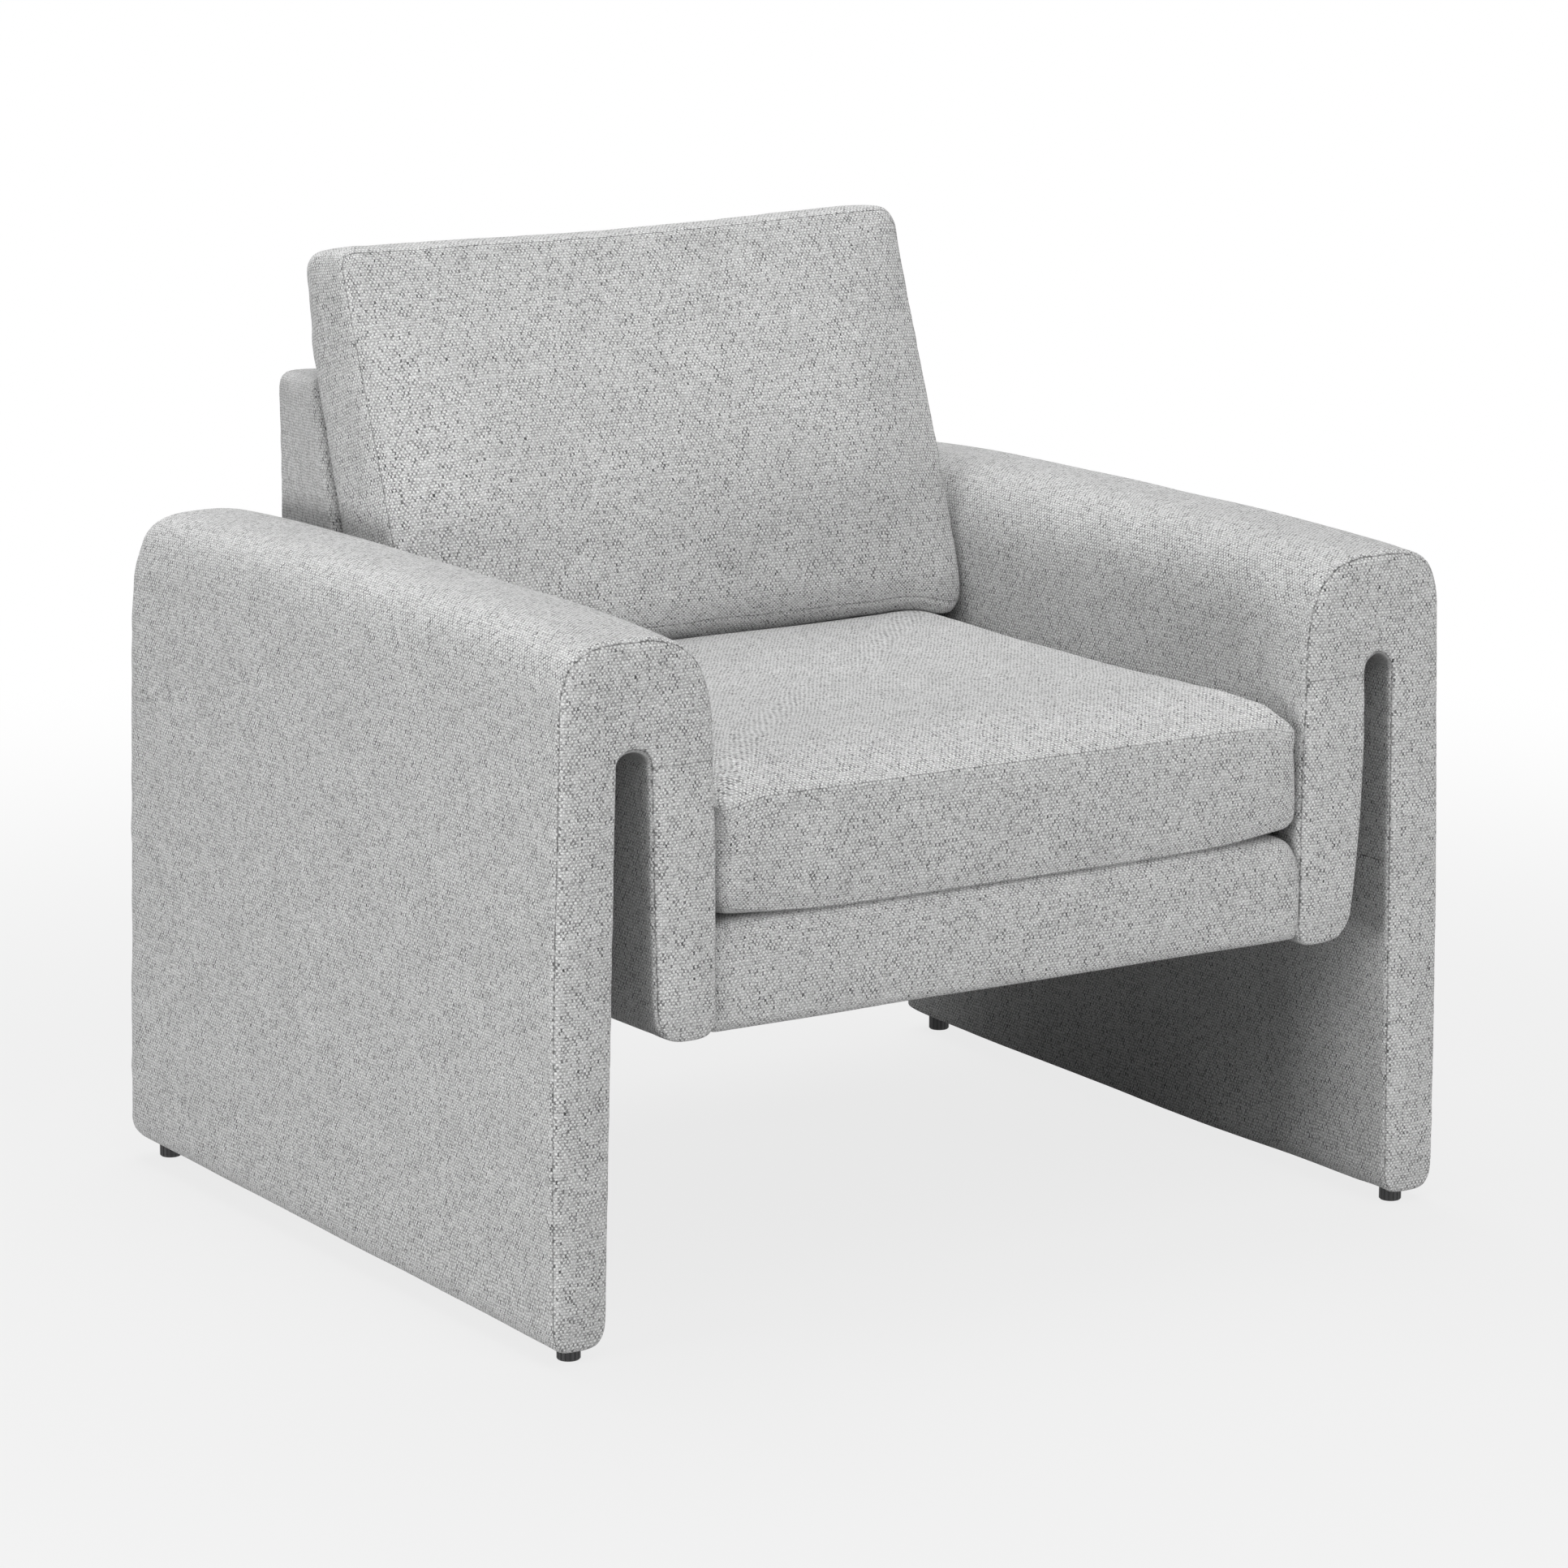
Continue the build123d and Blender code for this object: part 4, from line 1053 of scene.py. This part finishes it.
# %% Finish both arms
def build_arm(name, side):
    """Right arm, or its mirror image on the left."""
    arm = new_object(name, blank.copy())
    flat = points_of(arm.data)
    real = shape_arm(flat, arm_sides[side])
    lay_out_arm(arm.data, flat, real)
    store_seam(arm, arm_seams(flat))
    move_points(arm.data, real)
    if side == "left":
        turned = bmesh.new()
        turned.from_mesh(arm.data)
        bmesh.ops.scale(turned, vec=(-1, 1, 1), verts=turned.verts)
        bmesh.ops.reverse_faces(turned, faces=turned.faces)
        turned.to_mesh(arm.data)
        turned.free()
    soft = [f"{side}_arm_{part}" for part in ("cover", "panel_foam", "leg_foam", "top_foam")]
    seed = 3.1 if side == "left" else 8.4
    finish_cloth(arm, points_of(arm.data), "chair_frame", soft, 0.8, seed=seed)


build_arm("right_arm_upholstery", "right")
build_arm("left_arm_upholstery", "left")
blank.free()

# %% [markdown]
# ## The seat box
# Under the cushion a shallow box is pulled tight with the same cloth, over a thin pad. Its front edge
# and corners are soft because the pad turns over the rail there. A block of cells with rounded edges
# is enough: nothing in it is stuffed.

# %% Build the seat box
pad_round, pad_sag = 0.0015, 0.004  # how far the cloth stands out at the sides and hangs below
deck_low, deck_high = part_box("deck_cover")
deck_low, deck_high = deck_low - Vector((pad_round, 0, pad_sag)), deck_high + Vector((pad_round, 0, 0))
deck, flat = new_block("seat_box_upholstery", deck_low, deck_high, 0.014)
store_seam(deck, np.full(len(flat), seam_reach))
from_bottom, from_top = flat[:, 2] - deck_low.z, deck_high.z - flat[:, 2]
edges = (0.009 + 0.006 * smoothstep(0.05, 0.01, from_top), 0.003)
points = soft_block(flat, deck_low, deck_high, plan=(0, 2), corners=(0.006, 0.022), edges=edges)
middle = smoothstep(0.0, 0.03, from_bottom) * smoothstep(0.0, 0.03, from_top)
points[:, 1] -= 0.003 * middle * smoothstep(0.01, 0.0, flat[:, 1] - deck_low.y)
finish_cloth(deck, points, "chair_frame", ["deck_cover", "deck_pad"], 0.8, dent=0.0008, seed=1.3)

# %% [markdown]
# ## The dust cloth
# A black spun cloth closes the seat box from below. It is pulled taut and stapled through a folded edge
# every few centimetres, so its edge runs in small scallops and its middle hangs a few millimetres.

# %% Stretch the dust cloth
dust_half, front_margin, rear_margin, staple_pitch = 0.266, 0.024, 0.006, 0.044
dust_front = deck_low.y + front_margin
dust_deep = deck_high.y - rear_margin - dust_front
dust_mesh = bmesh.new()
bmesh.ops.create_grid(dust_mesh, x_segments=96, y_segments=80, size=0.5)
dust = new_object("seat_dust_cloth", dust_mesh)
points = points_of(dust.data)
share_x, share_y = points[:, 0] * 2, points[:, 1] + 0.5
to_side, to_end = dust_half * (1 - np.abs(share_x)), dust_deep * np.minimum(share_y, 1 - share_y)
to_edge = np.minimum(to_side, to_end)
points[:, 0] = share_x * dust_half
points[:, 1] = dust_front + share_y * dust_deep
hang = 0.0045 * smoothstep(0.0, 0.16, to_edge)
between = 0.5 - 0.5 * np.cos(2 * math.pi * (points[:, 0] + points[:, 1]) / staple_pitch)
scallop = 0.0011 * between * np.exp(-to_edge / 0.010)
wrinkles = noise_at(points * (16, 9, 0) + (0, 0, 5)) * 0.0008 * smoothstep(0.0, 0.05, to_edge)
points[:, 2] = deck_low.z - 0.0012 - hang - scallop + wrinkles
move_points(dust.data, points)
thick = dust.modifiers.new("thickness", "SOLIDIFY")
thick.thickness = 0.0004
thick.offset = 0.0
spun = rough_material("black_spun_cloth", black, (0.055, 0.055, 0.057), 900.0, 0.9, 0.0, 0.0002)
dust.data.materials.append(spun)
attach(dust, "chair_frame")
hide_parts("dust_cover")
print("dust cloth", round(2 * dust_half, 3), "by", round(dust_deep, 3), "m")

# %% [markdown]
# ## The back frame
# Behind the back cushion stands a thin upholstered frame. Its rear is upright and its front leans back
# with the sitter, so it narrows upwards. The cover wraps the front and the edges, and a separate rear
# panel is sewn on at the rear edges.

# %% Build the back frame
back_low, back_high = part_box("back_cover")
lean = math.radians(18.0)
back, flat = new_block("back_frame_upholstery", back_low, back_high, 0.014)
x, y, z = flat.T
edge = np.minimum(from_ends(x, back_low.x, back_high.x), from_ends(z, back_low.z, back_high.z))
store_seam(back, np.hypot(edge, back_high.y - y))
edges = (0.002 + 0.010 * smoothstep(0.0, 0.03, z - back_low.z), 0.012)
points = soft_block(flat, back_low, back_high, plan=(0, 2), corners=(0.012, 0.013), edges=edges)
x, y, z = points.T
share = (back_high.y - y) / (back_high.y - back_low.y)
face = back_low.y + np.maximum(z - deck_high.z, 0.0) * math.tan(lean)
y[:] = back_high.y - share * (back_high.y - face)
x *= 1 - 0.0006 / back_high.x  # clear of both arms
finish_cloth(back, points, "chair_frame", ["back_cover", "back_foam"], 0.7, dent=0.0012, seed=6.2)

# %% [markdown]
# ## The seat cushion
# A box cushion has a top and a bottom panel joined by an upright border. It is filled with foam in a
# soft wrap, so that its top crowns while its bottom lies flat on the seat box. The flat-sided cover is
# swelled by the cloth simulation, and then the bottom and the sides are held back by what they touch.

# %% Build the seat cushion's cover
seat_low, seat_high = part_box("seat_cushion_cover")
seat_border = 0.096
seat_seam = seat_low.z + seat_border
seat_corner = Vector((seat_high.x, seat_high.y, seat_seam))
seat, flat = new_block("seat_cushion_upholstery", seat_low, seat_corner, 0.0105)
x, y, z = flat.T
edge = np.minimum(from_ends(x, seat_low.x, seat_high.x), from_ends(y, seat_low.y, seat_high.y))
seat_seams = np.hypot(edge, from_ends(z, seat_low.z, seat_seam))
store_seam(seat, np.hypot(seat_seams, 0.0005))
points = soft_block(
    flat, seat_low, seat_corner, plan=(0, 1), corners=(0.009, 0.020), edges=(0.013, 0.004)
)

# %% [markdown]
# The top panel leaves its seam almost upright and turns over to level within a few centimetres, like a
# quarter of an ellipse. Its cloth is longer than the flat distance, so the cells are spaced along the
# curve and not along the floor, or the weave would look stretched beside the seam.


# %% Crown the top panel
def crown_curve(half, width, height, dome):
    """Flat distances from a seam, and the real depth and rise of the cloth at each."""
    turn = np.linspace(0.0, math.pi / 2, 60)
    depth = np.r_[width * (1 - np.cos(turn)), np.linspace(width, 0.16, 60)[1:]]
    rise = np.r_[height * np.sin(turn), np.full(59, height)]
    rise = rise + dome * (1 - np.exp(-depth / 0.04))
    length = np.r_[0.0, np.cumsum(np.hypot(np.diff(depth), np.diff(rise)))]
    return np.r_[length, half], np.r_[depth, half], np.r_[rise, rise[-1]]


reach, real_depth, real_rise = crown_curve((seat_high.y - seat_low.y) / 2, 0.024, 0.0115, 0.0105)
top = flat[:, 2] > seat_seam - 1e-6
x, y, z = points.T
a, b = from_ends(x, seat_low.x, seat_high.x), from_ends(y, seat_low.y, seat_high.y)
depth, along_a, along_b = rim(a, b, np.where(flat[:, 1] < 0, 0.009, 0.020))
move = np.where(top, np.interp(depth, reach, real_depth) - depth, 0.0)
x -= np.sign(x) * move * along_a
y -= np.sign(y - (seat_low.y + seat_high.y) / 2) * move * along_b
z += np.where(top, np.interp(depth, reach, real_rise), 0.0)

# the front corners hold less stuffing, so they sink and draw in
from_corner = np.hypot(np.maximum(a, 0.0), np.maximum(b, 0.0)) + 1.0 * (flat[:, 1] > 0)
sunk = 0.008 * np.exp(-((from_corner / 0.024) ** 2))
sunk *= smoothstep(0.03, seat_border, flat[:, 2] - seat_low.z)
z -= sunk
x -= np.sign(x) * 0.2 * sunk
move_points(seat.data, points)
print("crown of", round(float(real_rise[-1]) * 1000), "mm")

# %% Stuff the seat cushion
stuff(seat, pressure=4.0, cap=0.006, held=seat_seams < 1e-5)
points = points_of(seat.data)
x, y, z = points.T
x[:] = np.clip(x, seat_low.x - 0.003, seat_high.x + 0.003)
y[:] = np.clip(y, seat_low.y - 0.004, seat_high.y + 0.0004)
z[:] = np.clip(z, seat_low.z, seat_high.z + 0.003)
overhang = smoothstep(0.035, 0.0, y - seat_low.y) * smoothstep(0.05, 0.0, z - seat_low.z)
z -= 0.005 * (1 - 2.8 * (x / seat_high.x) ** 6) * overhang
relief = {"crease": 0.0001, "dent": 0.0012, "pucker": 0.0005, "seed": 2.2}
finish_cloth(seat, points, "seat_cushion", ["seat_cushion_cover", "seat_cushion_core"], 0.85, **relief)

# %% [markdown]
# ## The back cushion
# The loose back cushion is another box cushion, stood on its edge and leaning on the back frame. It is
# simplest to build it upright in its own frame and to lean it afterwards. Its weight makes it slump:
# the lower half of its face pushes forward, and its bottom border is squashed under on the seat.

# %% Build the back cushion's cover
pad_low, pad_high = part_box("back_cushion_cover")
pad_thick = 0.085
pad_piping = 0.016  # height of the bottom seam, before the border under it is squashed
seam_top = Vector((0.0, 0.2352, 0.7895))  # middle of the front seam along the top
pad_tall = (seam_top.z - pad_low.z) / math.cos(lean)
upright_low, upright_high = Vector((pad_low.x, 0, 0)), Vector((pad_high.x, pad_thick, pad_tall))
pad, flat = new_block("back_cushion_upholstery", upright_low, upright_high, 0.0105)
x, y, z = flat.T
hem = np.minimum(np.abs(z - pad_piping), np.abs(pad_tall - 0.0018 - z))
edge = np.minimum(from_ends(x, pad_low.x, pad_high.x), hem)
pad_seams = np.hypot(edge, from_ends(y, 0.0, pad_thick))
store_seam(pad, pad_seams)
edges = (0.011, 0.016 + 0.015 * smoothstep(pad_tall - 0.08, pad_tall - 0.02, z))
points = soft_block(flat, upright_low, upright_high, plan=(0, 2), corners=(0.034, 0.018), edges=edges)
move_points(pad.data, points)

# %% Stuff the back cushion
full_places = [-0.283, -0.248, -0.215, -0.149, -0.083, -0.017, 0.049, 0.115, 0.181, 0.247, 0.283]
full_rises = [0.0055, 0.0036, 0.0029, 0.0022, 0.0003, -0.0007, -0.0005, 0.0003, 0.0016, 0.0023, 0.0020]
stuff(pad, pressure=4.0, cap=0.016, held=pad_seams < 1e-5)
points = points_of(pad.data)
x, y, z = points.T
y[:] = np.minimum(y, pad_thick)

# the face slumps forward, most of all low down and away from the sides
inside = smoothstep(0.0, 0.09, from_ends(x, pad_low.x, pad_high.x))
slump = 0.009 * smoothstep(0.0, 0.05, z) * smoothstep(pad_tall, 0.10, z)
slump += 0.010 * inside * smoothstep(0.02, 0.15, z) * smoothstep(pad_tall - 0.02, 0.17, z)
y -= slump * smoothstep(pad_thick, 0.0, y)
x[:] = np.clip(x, pad_low.x - 0.0015, pad_high.x + 0.0015)

# the bottom will lie level once the cushion leans, and the top border crowns between its seams
z += y * math.tan(lean) * smoothstep(0.12, 0.0, z)
fullness = np.interp(x, full_places, full_rises)
across = np.clip(y / pad_thick, 0.0, 1.0)
z += 0.0045 * (4 * across * (1 - across)) ** 0.6 * smoothstep(pad_tall - 0.02, pad_tall, z)

# the bottom seam gathers, and the top seam is fuller in some places than in others
gathered = noise_at(points * (19, 0, 0) + (0, 7, 3))
z += 0.0045 * gathered * np.exp(-(((z - pad_piping) / 0.014) ** 2)) * smoothstep(0.05, 0.0, y)
z += (0.003 + 0.004 * x / pad_high.x + fullness) * smoothstep(0.1, pad_tall, z)
puffed = smoothstep(0.0, 0.06, y) * np.exp(-(x - pad_low.x).clip(0) / 0.035)
z += 0.008 * puffed * smoothstep(pad_tall - 0.09, pad_tall, z)

# %% Lean the back cushion and rest it on the seat
across, deep, tall = points.T
leaning = np.stack(
    [
        across,
        seam_top.y + deep * math.cos(lean) + (tall - pad_tall) * math.sin(lean),
        seam_top.z - deep * math.sin(lean) + (tall - pad_tall) * math.cos(lean),
    ],
    1,
)
under = BVHTree.FromObject(seat, bpy.context.evaluated_depsgraph_get())
rests = np.full(len(leaning), pad_low.z)
for number in np.flatnonzero(leaning[:, 2] < pad_low.z + 0.05):
    hit = under.ray_cast(Vector((*leaning[number, :2], 0.6)), Vector((0, 0, -1)))[0]
    rests[number] = hit.z + 0.0008 if hit else pad_low.z
drop = np.clip(pad_low.z - rests, -0.02, 0.014) * smoothstep(0.05, 0.0, leaning[:, 2] - pad_low.z)
leaning[:, 2] = np.maximum(leaning[:, 2] - drop, rests * (leaning[:, 2] < pad_low.z + 0.05))
print("the cushion settles by", round(float(drop.max()) * 1000, 1), "mm")
relief = {"dent": 0.0014, "pucker": 0.0008, "seed": 4.9}
finish_cloth(pad, leaning, "back_cushion", ["back_cushion_cover", "back_cushion_core"], 0.8, **relief)

# %% Measure the dressed chair
scene_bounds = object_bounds()
for name, corners in (("cad", cad_bounds), ("scene", scene_bounds)):
    print(name, [round(v, 4) for corner in corners for v in corner])
